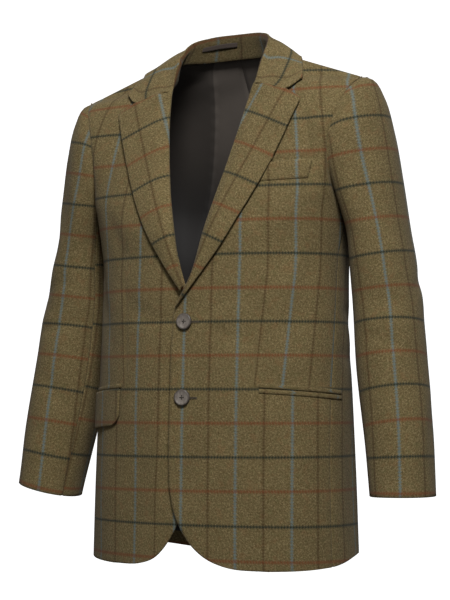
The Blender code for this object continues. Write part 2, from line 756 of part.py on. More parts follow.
def lapel_point(across, along):
    """Spread and height of a point of the left lapel: across from the crease, along from its foot."""
    break_height = ROLL_LINE["break"][0]
    gorge_height = ROLL_LINE["gorge"][0]
    height = break_height + (gorge_height - break_height) * along
    crease = roll_point(height)[[0, 2]]
    foot = np.array([ROLL_LINE["break"][1], break_height])
    peak = np.array(LAPEL_PEAK)
    out = unit(np.array([(peak - foot)[1], -(peak - foot)[0]]))
    edge = foot + (peak - foot) * along + out * LAPEL_BELLY * math.sin(math.pi * along)
    top = roll_point(gorge_height)[[0, 2]]
    notch = np.array(LAPEL_NOTCH)
    if across < NOTCH_SHARE:
        corner = top + (notch - top) * across / NOTCH_SHARE
    else:
        corner = notch + (peak - notch) * (across - NOTCH_SHARE) / (1 - NOTCH_SHARE)
    straight = top + (peak - top) * across
    return crease + (edge - crease) * across + (corner - straight) * along**NOTCH_SHARPNESS


def lapel_grid(start):
    """Outer face of the left lapel, moved out from the chest that it lies on."""
    steps = np.concatenate([np.linspace(start, LAPEL_ROWS_TO, LAPEL_ROWS), [LAPEL_LAST_ROW, LAPEL_TOP]])
    grid = []
    for along in steps:
        row = []
        for across in LAPEL_SHARES:
            point, normal = on_front(*lapel_point(across, along))
            lift = CREASE_LIFT + (LAPEL_LIFT - CREASE_LIFT) * ease(across / CREASE_TURN)
            swell = math.sin(math.pi * across) * math.sin(math.pi * min(along, LAPEL_FLAT_FROM))
            row.append(point + normal * (lift + LAPEL_WALL + LAPEL_FULLNESS * swell))
        grid.append(row)
    return np.array(grid)


def add_lapels(collection):
    """Turned-back lapels; the right one starts where it comes out from under the left front."""
    cloth("lapel_left", lapel_grid(LAPEL_TIP_LEFT), LAPEL_WALL, "tweed", collection)
    right = mirrored(lapel_grid(LAPEL_TIP_RIGHT))
    cloth("lapel_right", right, LAPEL_WALL, "tweed", collection)


def pocket_point(angle, drop, lift):
    """Point at an angle round the body, a distance under the hip pocket's slit and off the cloth."""
    share = (angle - POCKET_ANGLES[0]) / (POCKET_ANGLES[1] - POCKET_ANGLES[0])
    height = POCKET_HEIGHTS[0] + (POCKET_HEIGHTS[1] - POCKET_HEIGHTS[0]) * share - drop
    point = body_point(height, angle)
    along = body_point(height, angle + 0.5) - body_point(height, angle - 0.5)
    upward = body_point(height + 0.002, angle) - body_point(height - 0.002, angle)
    return point + unit(np.cross(along, upward)) * lift


def pocket_strip(low, high, lift, corner=0.0, rows=2):
    """Strip laid along the hip pocket between two distances under its slit, with rounded lower corners."""
    first, last = POCKET_ANGLES
    points = [pocket_point(angle, 0.0, 0.0) for angle in np.linspace(first, last, SAMPLES_ACROSS)]
    length = np.linalg.norm(np.diff(points, axis=0), axis=1).sum()
    grid = []
    for k in range(rows):
        drop = low + (high - low) * k / (rows - 1)
        into = max(0.0, drop - (low - corner)) if corner else 0.0
        cut = (corner - math.sqrt(max(corner**2 - into**2, 0.0))) / length * (last - first)
        angles = np.linspace(first + cut, last - cut, POCKET_FACES + 1)
        grid.append([pocket_point(angle, drop, lift) for angle in angles])
    return np.array(grid)


def add_pockets(collection):
    """Breast welt, hip jets and the right hip flap, each moved out from the panel under it."""
    inner = np.array(WELT_INNER)
    outer = np.array(WELT_OUTER)
    rows = []
    for rise in (0.0, WELT_WIDTH):
        row = []
        for share in np.linspace(0, 1, WELT_FACES + 1):
            spread, height = inner + (outer - inner) * share
            point, normal = on_front(spread, height + rise)
            row.append(point + normal * (LAY_GAP + TRIM_WALL))
        rows.append(row)
    cloth("breast_welt", np.array(rows), TRIM_WALL, "tweed", collection)
    lift = LAY_GAP + TRIM_WALL
    upper = pocket_strip(-SLIT / 2, -JET_WIDTH, lift)
    lower = pocket_strip(JET_WIDTH, SLIT / 2, lift)
    cloth("hip_jet_left_upper", upper, TRIM_WALL, "tweed", collection)
    cloth("hip_jet_left_lower", lower, TRIM_WALL, "tweed", collection)
    cloth("hip_jet_right_upper", mirrored(upper), TRIM_WALL, "tweed", collection)
    flap = pocket_strip(FLAP_LENGTH, SLIT / 2, FLAP_LIFT + CLOTH_WALL, FLAP_CORNER, rows=FLAP_ROWS)
    cloth("hip_flap_right", mirrored(flap), CLOTH_WALL, "tweed", collection)


def button_mesh(name):
    """Half section of a turned button with a rim and a dished middle, its back face at height 0."""
    profile = [(BUTTON_RADIUS - inward, height) for inward, height in BUTTON_SECTION.values()]
    mesh = bpy.data.meshes.new(name)
    edges = [(k, k + 1) for k in range(len(profile) - 1)]
    mesh.from_pydata([(x, 0.0, z) for x, z in profile], edges, [])
    return mesh


def add_buttons(collection, cutters):
    """Two four-hole buttons on the left front, each seated on the cloth and turned to face out from it."""
    for name, height in BUTTON_HEIGHTS.items():
        point, normal = on_front(0.0, height)
        place = Vector(point + normal * LAY_GAP)
        turn = Vector(normal).to_track_quat("Z", "Y")
        piece = add_object(name, button_mesh(name), "horn", collection)
        piece.matrix_world = Matrix.LocRotScale(place, turn, None)
        screw = piece.modifiers.new("turned", "SCREW")
        screw.steps = BUTTON_TURN_STEPS
        screw.render_steps = BUTTON_TURN_STEPS
        screw.use_merge_vertices = True
        screw.merge_threshold = 0.00005
        for k in range(4):
            angle = math.radians(90 * k)
            bpy.ops.mesh.primitive_cylinder_add(vertices=8, radius=BUTTON_HOLE, depth=4 * BUTTON_THICKNESS)
            hole = bpy.context.object
            hole.name = f"{name}_hole_{k + 1}"
            away = BUTTON_HOLE_SPACING * Vector((math.cos(angle), math.sin(angle), 0.0))
            hole.matrix_world = piece.matrix_world @ Matrix.Translation(away)
            hole.hide_render = True
            hole.display_type = "WIRE"
            for owner in list(hole.users_collection):
                owner.objects.unlink(hole)
            cutters.objects.link(hole)
            cut = piece.modifiers.new("thread_hole", "BOOLEAN")
            cut.operation = "DIFFERENCE"
            cut.object = hole


def build():
    """Clear the scene and make every piece."""
    for item in list(bpy.data.objects):
        bpy.data.objects.remove(item)
    jacket = bpy.data.collections.new("tweed_sports_jacket")
    cutters = bpy.data.collections.new("cutters")
    bpy.context.scene.collection.children.link(jacket)
    bpy.context.scene.collection.children.link(cutters)
    add_body(jacket)
    add_sleeves(jacket)
    add_lapels(jacket)
    add_collar(jacket)
    add_pockets(jacket)
    add_buttons(jacket, cutters)


build()
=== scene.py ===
"""Tweed sports jacket, dressed: woollen twill with an overcheck, lining, horn buttons and sewing.

Metres, in the frame of the solids: the front faces -Y, the wearer's left is +X and +Z is up.
"""
import math

import bpy
import numpy as np
from mathutils import Matrix, Vector


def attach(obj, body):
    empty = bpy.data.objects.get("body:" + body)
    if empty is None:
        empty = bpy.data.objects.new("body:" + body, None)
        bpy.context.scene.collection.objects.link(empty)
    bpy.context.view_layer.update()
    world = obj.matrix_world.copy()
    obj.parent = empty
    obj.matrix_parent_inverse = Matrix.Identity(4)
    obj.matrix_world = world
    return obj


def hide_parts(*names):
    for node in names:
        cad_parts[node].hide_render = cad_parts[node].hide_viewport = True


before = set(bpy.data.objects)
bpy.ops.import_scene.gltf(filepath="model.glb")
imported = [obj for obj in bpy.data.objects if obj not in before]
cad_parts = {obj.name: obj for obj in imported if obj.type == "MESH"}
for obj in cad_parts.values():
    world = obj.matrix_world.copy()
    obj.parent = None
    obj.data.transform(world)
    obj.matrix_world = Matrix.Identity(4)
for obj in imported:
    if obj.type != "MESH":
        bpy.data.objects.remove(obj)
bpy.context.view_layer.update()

# Tweed: a woollen twill of mixed olive and brown yarns, milled soft. A traditional overcheck is woven
# into it: pale blue and dark brown lines run down the cloth, green-black and rust lines run across it.
CHECK_WIDTH = 0.0775
CHECK_HEIGHT = 0.0925
CHECK_HEIGHT_PLACE = -0.3705
LINE_COLUMNS = ("axis", "place", "spacing", "width", "colour", "strength")
RUST_PLACE = CHECK_HEIGHT_PLACE + CHECK_HEIGHT / 2
OVERCHECK = {
    "brown": ("u", CHECK_WIDTH / 2, CHECK_WIDTH, 0.0038, (0.052, 0.029, 0.012), 0.76),
    "blue": ("u", 0.0, CHECK_WIDTH, 0.0040, (0.112, 0.174, 0.186), 0.70),
    "rust": ("v", RUST_PLACE, CHECK_HEIGHT, 0.0046, (0.150, 0.040, 0.015), 0.72),
    "green_black": ("v", CHECK_HEIGHT_PLACE, CHECK_HEIGHT, 0.0040, (0.014, 0.022, 0.017), 1.02),
}
TWILL = 0.0023
LINE_STEP = 0.0042
YARN_COLOURS = (
    (0.30, (0.048, 0.033, 0.011)),
    (0.50, (0.134, 0.099, 0.042)),
    (0.71, (0.285, 0.224, 0.119)),
)
YARN_SCALES = (1200.0, 420.0)
FLOAT_SIZE = (0.0021, 0.0032)
HUE_SCALE = 130.0
CLOUD_SCALE = 22.0
# Coloured yarns: their colour, their share and the noise that they come and go with
GREEN_YARN = ((0.098, 0.096, 0.036), 0.28, (0.48, 0.72), HUE_SCALE)
RED_YARN = ((0.165, 0.088, 0.036), 0.30, (0.46, 0.30), HUE_SCALE / 2)
CLOUD_TONES = (0.34, 0.83)
TWILL_TONE = 0.035
TWILL_RELIEF = 0.16
FLECK = 0.09
LINE_WANDER = 0.0011
LINE_EDGES = (0.68, 0.32)
LINE_BREAK = 0.9
LINE_STEP_TONES = (0.30, 0.76)
SHEEN_ROUGHNESS = 0.55
FLAT_MAP = "flat_cloth"


def wired(tree, kind, inputs, **settings):
    """New node with its settings and its inputs, each a value or a socket that feeds it."""
    node = tree.nodes.new(kind)
    for name, value in settings.items():
        setattr(node, name, value)
    for key, value in inputs.items():
        socket = node.inputs[key]
        if isinstance(value, bpy.types.NodeSocket):
            tree.links.new(value, socket)
        else:
            socket.default_value = (*value, 1.0) if socket.type == "RGBA" else value
    return node


def calc(tree, operation, *values):
    """Math of some values, each a number or a socket."""
    return wired(tree, "ShaderNodeMath", dict(enumerate(values)), operation=operation).outputs[0]


def wave(tree, value, length):
    """Sine of a value, one turn a length."""
    return calc(tree, "SINE", calc(tree, "MULTIPLY", value, math.tau / length))


def between(tree, value, low, high):
    """Smooth step of a value from 0 at low to 1 at high."""
    reach = {"From Min": min(low, high), "From Max": max(low, high)}
    steps = {"To Min": float(low > high), "To Max": float(low < high)}
    inputs = {"Value": value, **reach, **steps}
    return wired(tree, "ShaderNodeMapRange", inputs, interpolation_type="SMOOTHSTEP").outputs["Result"]


def mixed(tree, share, first, second, blend="MIX"):
    """Colour mixed from two, each a colour or a socket."""
    inputs = {0: share, 6: first, 7: second}
    return wired(tree, "ShaderNodeMix", inputs, data_type="RGBA", blend_type=blend).outputs[2]


def grain(tree, place, scale, detail=2.0, roughness=0.6):
    """Noise of one grain size over a place."""
    inputs = {"Vector": place, "Scale": scale, "Detail": detail, "Roughness": roughness}
    return wired(tree, "ShaderNodeTexNoise", inputs).outputs["Fac"]


def finish(name, roughness, sheen, specular):
    """New material with its tree, its shader and the cloth's flat place."""
    material = bpy.data.materials.new(name)
    material.use_nodes = True
    tree = material.node_tree
    shader = tree.nodes["Principled BSDF"]
    shader.inputs["Roughness"].default_value = roughness
    shader.inputs["Sheen Weight"].default_value = sheen
    shader.inputs["Sheen Roughness"].default_value = SHEEN_ROUGHNESS
    shader.inputs["Specular IOR Level"].default_value = specular
    return material, tree, shader, wired(tree, "ShaderNodeUVMap", {}, uv_map=FLAT_MAP).outputs["UV"]


def width_and_length(tree, place):
    """The two measures of a flat place."""
    split = wired(tree, "ShaderNodeSeparateXYZ", {0: place})
    return split.outputs["X"], split.outputs["Y"]


def bumped(tree, shader, height, distance, strength):
    """Fine relief on a shader."""
    bump = wired(tree, "ShaderNodeBump", {"Height": height, "Distance": distance, "Strength": strength})
    tree.links.new(bump.outputs["Normal"], shader.inputs["Normal"])


def tweed_finish(name, tone=1.0):
    """Mixed yarns, then the lines of the overcheck, stepped as a twill carries them."""
    material, tree, shader, place = finish(name, roughness=0.95, sheen=0.05, specular=0.10)
    u, v = width_and_length(tree, place)
    slant = calc(tree, "ADD", u, v)
    twill = wave(tree, slant, TWILL)
    step = wave(tree, slant, LINE_STEP)
    ways = (slant, calc(tree, "SUBTRACT", u, v))
    counts = [calc(tree, "FLOOR", calc(tree, "DIVIDE", way, size)) for way, size in zip(ways, FLOAT_SIZE)]
    floats = wired(tree, "ShaderNodeCombineXYZ", dict(enumerate(counts)))
    chance = wired(tree, "ShaderNodeTexWhiteNoise", {"Vector": floats.outputs[0]}, noise_dimensions="2D")
    fibre, wool = (grain(tree, place, scale, roughness=0.65) for scale in YARN_SCALES)
    yarn = calc(tree, "MULTIPLY", calc(tree, "ADD", fibre, wool), 0.5)
    yarn = calc(tree, "ADD", yarn, calc(tree, "MULTIPLY_ADD", chance.outputs["Value"], FLECK, -FLECK / 2))
    ramp = wired(tree, "ShaderNodeValToRGB", {"Fac": calc(tree, "MULTIPLY_ADD", twill, TWILL_TONE, yarn)})
    stops = ramp.color_ramp.elements
    stops.new(YARN_COLOURS[1][0])
    for stop, (position, colour) in zip(stops, YARN_COLOURS):
        stop.position = position
        stop.color = (*colour, 1.0)
    colour = ramp.outputs["Color"]
    for tint, share, span, scale in (GREEN_YARN, RED_YARN):
        here = between(tree, grain(tree, place, scale), *span)
        colour = mixed(tree, calc(tree, "MULTIPLY", here, share), colour, tint)
    cloud = calc(tree, "MULTIPLY_ADD", grain(tree, place, CLOUD_SCALE), *CLOUD_TONES)
    colour = mixed(tree, 1.0, colour, cloud, "MULTIPLY")
    for row in OVERCHECK.values():
        line = dict(zip(LINE_COLUMNS, row))
        moved = calc(tree, "SUBTRACT", u if line["axis"] == "u" else v, line["place"])
        away = calc(tree, "PINGPONG", moved, line["spacing"] / 2)
        away = calc(tree, "MULTIPLY_ADD", step, LINE_WANDER, away)
        mask = between(tree, away, *(edge * line["width"] for edge in LINE_EDGES))
        broken = calc(tree, "MULTIPLY_ADD", yarn, LINE_BREAK, line["strength"] - LINE_BREAK / 2)
        broken = calc(tree, "MULTIPLY", broken, calc(tree, "MULTIPLY_ADD", step, *LINE_STEP_TONES))
        colour = mixed(tree, calc(tree, "MULTIPLY", mask, broken), colour, line["colour"])
    # A tone below one darkens the whole cloth; the collar's stand uses it as painted shade.
    colour = mixed(tree, 1.0, colour, (tone, tone, tone), "MULTIPLY")
    tree.links.new(colour, shader.inputs["Base Color"])
    relief = calc(tree, "MULTIPLY_ADD", twill, TWILL_RELIEF, yarn)
    bumped(tree, shader, relief, distance=0.0005, strength=0.20)
    return material


def lining_finish(name, tones, pleat=None):
    """Dark brown lining twill, darker towards the bottom by painted shade; beyond a pleat, painted shade
    darkens it further.
    """
    material, tree, shader, place = finish(name, roughness=0.62, sheen=0.04, specular=0.18)
    u, v = width_and_length(tree, place)
    fine = grain(tree, place, 900.0)
    cloud = calc(tree, "MULTIPLY_ADD", grain(tree, place, 14.0), 0.5, 0.35)
    colour = mixed(tree, calc(tree, "MULTIPLY_ADD", fine, 0.35, cloud), *tones)
    # Painted shade: the lining goes to a dull dark colour towards the bottom.
    colour = mixed(tree, between(tree, v, *LINING_PAINTED_SHADE_HEIGHTS), LINING_PAINTED_SHADE_COLOUR, colour)
    if pleat:
        beyond = calc(tree, "MULTIPLY_ADD", v, -pleat["lean"], pleat["lean"] * pleat["top"])
        beyond = calc(tree, "SUBTRACT", calc(tree, "SUBTRACT", beyond, u), pleat["place"])
        # Painted shade: beyond the pleat the colour is multiplied darker.
        colour = mixed(tree, between(tree, beyond, 0.0, pleat["fold"]), colour, pleat["shade"], "MULTIPLY")
    tree.links.new(colour, shader.inputs["Base Color"])
    bumped(tree, shader, fine, distance=0.0003, strength=0.25)
    return material


TWEED = tweed_finish("tweed")
# Painted shade on the lining: the heights over which it darkens downward, and its darkest colour.
LINING_PAINTED_SHADE_HEIGHTS = (-0.200, 0.000)
LINING_PAINTED_SHADE_COLOUR = (0.018, 0.015, 0.013)
LINING_TONES = ((0.052, 0.044, 0.038), (0.150, 0.127, 0.108))
LINING = lining_finish("lining", LINING_TONES)
LINED = (TWEED, LINING)

# Fronts: each is cut in one from the hem to the shoulder, with a dart under the chest and a rounded
# corner at the hem. The left laps over the right. Both are turned back along the lapels' creases.
CLOTH_WALL = 0.0020
HEM_TURN = 0.038
EDGE_LIFT = 0.0036
EDGE_LIFT_FROM = -0.365
EDGE_LIFT_REACH = 0.013
EDGE_LIFT_FADE = 0.05
CORNER_FADE = 0.030
# Gap left between panels at a seam
SEAM_GAP = 0.0006
# Columns across a panel and step up it
FRONT_MESH = (72, 0.0042)
LEAST_SQUARE = 0.45
NORMAL_REACH = 5
RIM_CORNER = 0.3
RIM_ROUND = 0.4
CREASE_OVERRUN = 0.15
CREASE_FADES = (0.45, 0.55)
CREASE_WIDTHS = (0.75, 0.5)
RING_COLUMNS = ("height", "half_width", "front_depth", "back_depth", "dip", "front_seam", "back_seam")
BODY_RINGS = {
    "hem": (-0.692, 0.1945, 0.1400, 0.1400, 0.0155, 72, 117),
    "seat": (-0.600, 0.1915, 0.1400, 0.1380, 0.0070, 72, 117),
    "pocket": (-0.475, 0.1865, 0.1360, 0.1310, 0.000, 75, 115),
    "waist": (-0.370, 0.1825, 0.1300, 0.1240, 0.000, 81, 113),
    "rib": (-0.280, 0.1830, 0.1235, 0.1260, 0.000, 84, 112),
    "underarm": (-0.215, 0.1890, 0.1130, 0.1320, 0.000, 84, 111),
}
SQUARENESS = 2.2
DIP_SPREAD = 4
SIDE_RISE = 0.294
SIDE_RISE_SPREAD = 18
FRONT_LAP = 0.018
CORNER_START = -0.545
CORNER_REACH = 0.135
CORNER_STEPS = 7
CORNER_ROUNDNESS = 2.8
# Crease of the left lapel: height, spread and depth forward
ROLL_LINE = {
    "break": (-0.358, -0.0180, 0.1290),
    "crossing": (-0.325, 0.0000, 0.1280),
    "chest": (-0.230, 0.0270, 0.1140),
    "breast": (-0.135, 0.0490, 0.0820),
    "collarbone": (-0.073, 0.0600, 0.0585),
    "gorge": (-0.036, 0.0650, 0.0410),
}
UNDERLAP = 0.0030
UNDERLAP_REACH = 0.060
UNDERLAP_TOP = -0.270
UNDERLAP_FADE = 0.060
UNDERLAP_SWING = 0.012
SWING_FROM = -0.520
SWING_FADE = 0.110
# Seam of the neck: spread, distance back and height
NECK_SEAM = {
    "centre_back": (0.0000, 0.0510, 0.023),
    "back": (0.0480, 0.0400, 0.021),
    "shoulder": (0.0765, 0.0030, 0.0145),
    "side": (0.0735, -0.0150, -0.010),
    "gorge": (0.0650, -0.0410, -0.036),
}
SHOULDER_END = (0.2140, 0.0030, -0.0350)
SHOULDER_LEVEL = 0.008
# Tilts of the pose: slope, height that it starts from and distance up or down to its full slope
TILTS = {
    "shoulder": (0.030, -0.400, 0.350),
    "hem": (0.022, -0.600, -0.090),
    "cuff": (0.120, -0.500, -0.100),
}
CUFF_SPREAD = 0.276
SLEEVES_BEYOND = 0.205
ARMHOLE_BOTTOM = (0.1900, 0.0040, -0.2150)
ARMHOLE_FRONT = (0.062, 0.018)
ARMHOLE_BACK = (0.066, 0.012)
# Rows above the underarm: angle on the armhole, then height of the crease or name on the neck seam
FRONT_UPPER = ((168, -0.235), (145, -0.200), (120, -0.160), (95, -0.120), (70, -0.086), (45, -0.058))
FRONT_NECK = ((26, "gorge"), (11, "side"))
LEVEL_CHECKS_TO = -0.100
LEVEL_CHECKS_FADE = 0.03
CHEST_LEAN = 0.0280
CHEST_LEAN_FROM = -0.280
CHEST_LEAN_RISE = 0.235
CHEST_LEAN_MOST = 1.2
DART = {"foot": (0.0985, -0.462), "head": (0.1080, -0.305), "take_up": 0.0150, "fold": 0.003}
# Creases: from u, v to u, v on the flat cloth, half width and depth out, all in mm, then bow by length
FRONT_CREASES = (
    (108, -151, 188, -148.7, 3.6, -2.6, 0),
    (20, -372, 110, -330, 12, -1.8, 0.1),
    (30, -378, 135, -395, 14, -1.6, -0.08),
    (150, -225, 120, -330, 16, -2.2, 0.05),
    (185, -260, 165, -420, 17, -2.6, -0.04),
    (60, -500, 50, -660, 30, -1.6, 0.03),
    (160, -500, 172, -680, 26, 2.2, 0.02),
    (120, -520, 118, -690, 22, -1.9, 0.03),
    (165, -70, 172, -215, 10, -2.2, 0.03),
    (98.5, -455, 108, -305, 3.6, -1.2, 0),
)
FRONT_CREASES_RIGHT = (
    (14, -385, 16, -610, 11, -5.8, 0),
    (128, -65, 118, -150, 9, -2.2, 0.06),
    (98.5, -455, 108, -305, 3.6, -1.2, 0),
    (10, -374, 120, -320, 13, -1.9, -0.1),
    (150, -215, 105, -300, 15, -2.4, -0.06),
    (190, -270, 150, -400, 17, -2.6, 0.04),
    (70, -520, 80, -680, 28, -1.9, -0.03),
    (140, -490, 150, -670, 24, 1.9, -0.02),
    (155, -80, 160, -180, 16, -2.6, -0.05),
)


def smooth(knots, values, at):
    """Point at one place on the smooth curve through the values at the knots."""
    knots = np.asarray(knots, dtype=float)
    values = np.asarray(values, dtype=float)
    steps = np.diff(knots)
    slopes = np.diff(values, axis=0) / steps[:, None]
    weights = steps[:-1] + steps[1:]
    inner = (slopes[:-1] * steps[1:, None] + slopes[1:] * steps[:-1, None]) / weights[:, None]
    tangents = np.vstack([slopes[:1], inner, slopes[-1:]])
    span = int(np.clip(np.searchsorted(knots, at) - 1, 0, len(steps) - 1))
    step = steps[span]
    f = (at - knots[span]) / step
    start = (2 * f**3 - 3 * f**2 + 1) * values[span] + (f**3 - 2 * f**2 + f) * step * tangents[span]
    end = (3 * f**2 - 2 * f**3) * values[span + 1] + (f**3 - f**2) * step * tangents[span + 1]
    return start + end


def at_height(table, height):
    """Sizes at one height, smooth between the rows of a table that begin with their heights."""
    rows = sorted(table.values())
    return smooth([row[0] for row in rows], rows, height)


def ease(f):
    """Smooth step from 0 to 1, of a number or an array."""
    f = np.clip(f, 0.0, 1.0)
    return f * f * (3 - 2 * f)


def power(value, exponent):
    """Power that keeps the sign of its base."""
    return math.copysign(abs(value) ** exponent, value)


def unit(vectors):
    """Vectors of length one, along the last axis."""
    return vectors / np.linalg.norm(vectors, axis=-1, keepdims=True)


def body_ring(height):
    """Named sizes of the body's ring at one height."""
    return dict(zip(RING_COLUMNS, at_height(BODY_RINGS, height)))


def body_point(height, angle):
    """Point on the body's ring, its angle counted from the centre front."""
    ring = body_ring(height)
    turn = math.radians(angle)
    in_front = abs(angle) < 90
    depth = ring["front_depth"] if in_front else ring["back_depth"]
    x = ring["half_width"] * power(math.sin(turn), 2 / SQUARENESS)
    y = -depth * power(math.cos(turn), 2 / SQUARENESS)
    beyond = abs(angle) / SIDE_RISE_SPREAD - 90 / SIDE_RISE_SPREAD
    behind = math.cos(turn) ** 4 - SIDE_RISE * beyond * math.exp(1 - beyond)
    low = 1 - (abs(angle) / 90) ** DIP_SPREAD if in_front else behind
    return np.array([x, y, height - ring["dip"] * low])


def body_angle(height, spread):
    """Angle on the front half of the ring at a distance from the centre."""
    return math.degrees(math.asin(power(spread / body_ring(height)["half_width"], SQUARENESS / 2)))


def roll_point(height):
    """Point on the crease of the left lapel."""
    _, spread, depth = at_height(ROLL_LINE, height)
    return np.array([spread, -depth, height])


def edge_spread(height):
    """Distance of the left front's edge from the centre, below the crease."""
    drop = min(max((CORNER_START - height) / (CORNER_START - BODY_RINGS["hem"][0]), 0.0), 1.0)
    return CORNER_REACH * (1 - (1 - drop**CORNER_ROUNDNESS) ** (1 / CORNER_ROUNDNESS)) - FRONT_LAP


def armhole_point(angle):
    """Point on the armhole: 0 at the shoulder, 90 in front, 180 under the arm, 270 behind."""
    turn = math.radians(angle)
    bottom = np.array(ARMHOLE_BOTTOM)
    point = bottom + (np.array(SHOULDER_END) - bottom) * (1 + math.cos(turn)) / 2
    width, inset = ARMHOLE_FRONT if math.sin(turn) > 0 else ARMHOLE_BACK
    return point - np.array([inset * math.sin(turn) ** 2, width * math.sin(turn), 0.0])


def ring_row(height, start_angle, end_angle):
    """Row of a panel along the body's ring."""
    return lambda s: body_point(height, start_angle + (end_angle - start_angle) * s)


def rounded_row(inner, outer):
    """Row of a panel from a point near the centre round to a point near the side."""
    def row(s):
        across = power(math.sin(math.radians(90 * s)), 2 / SQUARENESS)
        round_off = power(math.cos(math.radians(90 * s)), 2 / SQUARENESS)
        point = inner + (outer - inner) * across
        point[1] = outer[1] + (inner[1] - outer[1]) * round_off
        return point
    return row


def shifted_row(row, shift):
    """Row moved bodily."""
    return lambda s: row(s) + np.array(shift)


def split_up(knots, parts):
    """Places along some knots, with each span split into its own number of parts."""
    places = [knots[0]]
    for low, high, count in zip(knots[:-1], knots[1:], parts):
        places += [low + (high - low) * (k + 1) / count for k in range(count)]
    return places


def lofted(rows, across, step):
    """Points of the smooth surface through rows that run across a panel, about one step apart up it."""
    probes = np.array([[row(s) for s in (0.0, 0.3, 0.6, 1.0)] for row in rows])
    lengths = np.linalg.norm(np.diff(probes, axis=0), axis=2).mean(axis=1)
    knots = np.concatenate([[0.0], np.cumsum(lengths)])
    places = split_up(knots, [max(2, round(length / step)) for length in np.diff(knots)])
    columns = []
    for k in range(across + 1):
        values = [row(k / across) for row in rows]
        columns.append([smooth(knots, values, place) for place in places])
    return np.array(columns).transpose(1, 0, 2)


def ring_heights():
    """Heights of the body's rings from the hem to the ribs, close together at the rounded corner."""
    hem = BODY_RINGS["hem"][0]
    pocket = BODY_RINGS["pocket"][0]
    waist = BODY_RINGS["waist"][0]
    turns = [math.radians(90 * k / CORNER_STEPS) for k in range(CORNER_STEPS, -1, -1)]
    drops = [math.sin(turn) ** (2 / CORNER_ROUNDNESS) for turn in turns]
    corner = [CORNER_START + (hem - CORNER_START) * drop for drop in drops]
    middle = [pocket, (pocket + waist) / 2, waist]
    return corner + middle + [ROLL_LINE["break"][0], ROLL_LINE["crossing"][0], BODY_RINGS["rib"][0]]


def front_rows():
    """Outer face of the left front, from the hem to the shoulder seam."""
    rows = []
    for height in ring_heights():
        rolled = height >= ROLL_LINE["break"][0]
        spread = roll_point(height)[0] if rolled else edge_spread(height)
        rows.append(ring_row(height, body_angle(height, spread), body_ring(height)["front_seam"]))
    for angle, height in FRONT_UPPER:
        rows.append(rounded_row(roll_point(height), armhole_point(angle)))
    for angle, name in FRONT_NECK:
        rows.append(rounded_row(np.array(NECK_SEAM[name]), armhole_point(angle)))
    seam = rounded_row(np.array(NECK_SEAM["shoulder"]), np.array(SHOULDER_END))
    rows.append(shifted_row(seam, (0, -SHOULDER_LEVEL, 0)))
    rows.append(seam)
    return rows


def normals_of(grid):
    """Normals of a grid; where its directions run together, those of an upright panel or of the row."""
    across = np.gradient(grid, axis=1)
    up = np.gradient(grid, axis=0)
    normals = np.cross(across, up)
    square = np.linalg.norm(normals, axis=2) / (np.linalg.norm(across, axis=2) * np.linalg.norm(up, axis=2))
    reach = min(NORMAL_REACH, grid.shape[1] // 3)
    padded = np.pad(normals, ((0, 0), (reach, reach), (0, 0)), mode="edge")
    wide = sum(padded[:, k:k + grid.shape[1]] for k in range(2 * reach + 1))
    upright = np.cross(across, (0.0, 0.0, 1.0))
    beside = np.where(grid[..., 2:] < CORNER_START, upright, wide)
    return unit(np.where((square < LEAST_SQUARE)[..., None], beside, normals))


def mirrored(grid):
    """Grid on the other side of the wearer, its columns turned so that it still faces out."""
    return grid[:, ::-1] * np.array([-1.0, 1.0, 1.0])


def tilted(grid):
    """Pose: the left shoulder is held a little higher; the left hem and cuff hang a little lower."""
    grid = grid.copy()
    heights = grid[..., 2]
    shoulder, hem, cuff = (slope * ease((heights - start) / fade) for slope, start, fade in TILTS.values())
    cuff = cuff * (np.abs(grid[..., 0]) > SLEEVES_BEYOND)
    from_sleeve = grid[..., 0] - CUFF_SPREAD * np.sign(grid[..., 0])
    grid[..., 2] += grid[..., 0] * (shoulder - hem) - from_sleeve * cuff
    return grid


def flat_heights(grid):
    """Height on the flat cloth: level with the body up to the chest, then along the cloth."""
    rise = np.diff(grid[..., 2], axis=0)
    length = np.linalg.norm(np.diff(grid[..., 1:], axis=0), axis=2)
    along = ease((grid[1:, :, 2] - LEVEL_CHECKS_TO) / LEVEL_CHECKS_FADE)
    steps = rise + (length - rise) * along
    return np.concatenate([grid[:1, :, 2], grid[:1, :, 2] + np.cumsum(steps, axis=0)])


def run_along(grid, axis):
    """Length run from the start of a path, or along each row or column of a grid."""
    lengths = np.linalg.norm(np.diff(grid, axis=axis), axis=-1)
    return np.concatenate([np.zeros_like(lengths.take([0], axis)), np.cumsum(lengths, axis)], axis)


def flat_widths(grid, start):
    """Distance across the flat cloth from the places of the first column."""
    return run_along(grid[..., :2], 1) + np.broadcast_to(start, grid.shape[0])[:, None]


def creased(grid, flat, creases):
    """Cloth pressed in or out along soft creases, each from one place on the flat cloth to another."""
    lift = np.zeros(grid.shape[:2])
    for *sizes, bow in creases:
        u0, v0, u1, v1, half_width, depth = (size / 1000 for size in sizes)
        way = np.array([u1 - u0, v1 - v0])
        length = np.linalg.norm(way)
        from_start = flat - np.array([u0, v0])
        along = from_start @ way / length**2
        across = from_start @ np.array([-way[1], way[0]]) / length
        across = across - bow * length * np.sin(math.pi * np.clip(along, 0, 1))
        taper = ease((along + CREASE_OVERRUN) / CREASE_FADES[0])
        taper = taper * ease((1 + CREASE_OVERRUN - along) / CREASE_FADES[1])
        width = half_width * (CREASE_WIDTHS[0] + CREASE_WIDTHS[1] * np.clip(along, 0, 1))
        lift += depth * taper * np.exp(-((across / width) ** 2))
    return grid + normals_of(grid) * lift[..., None]


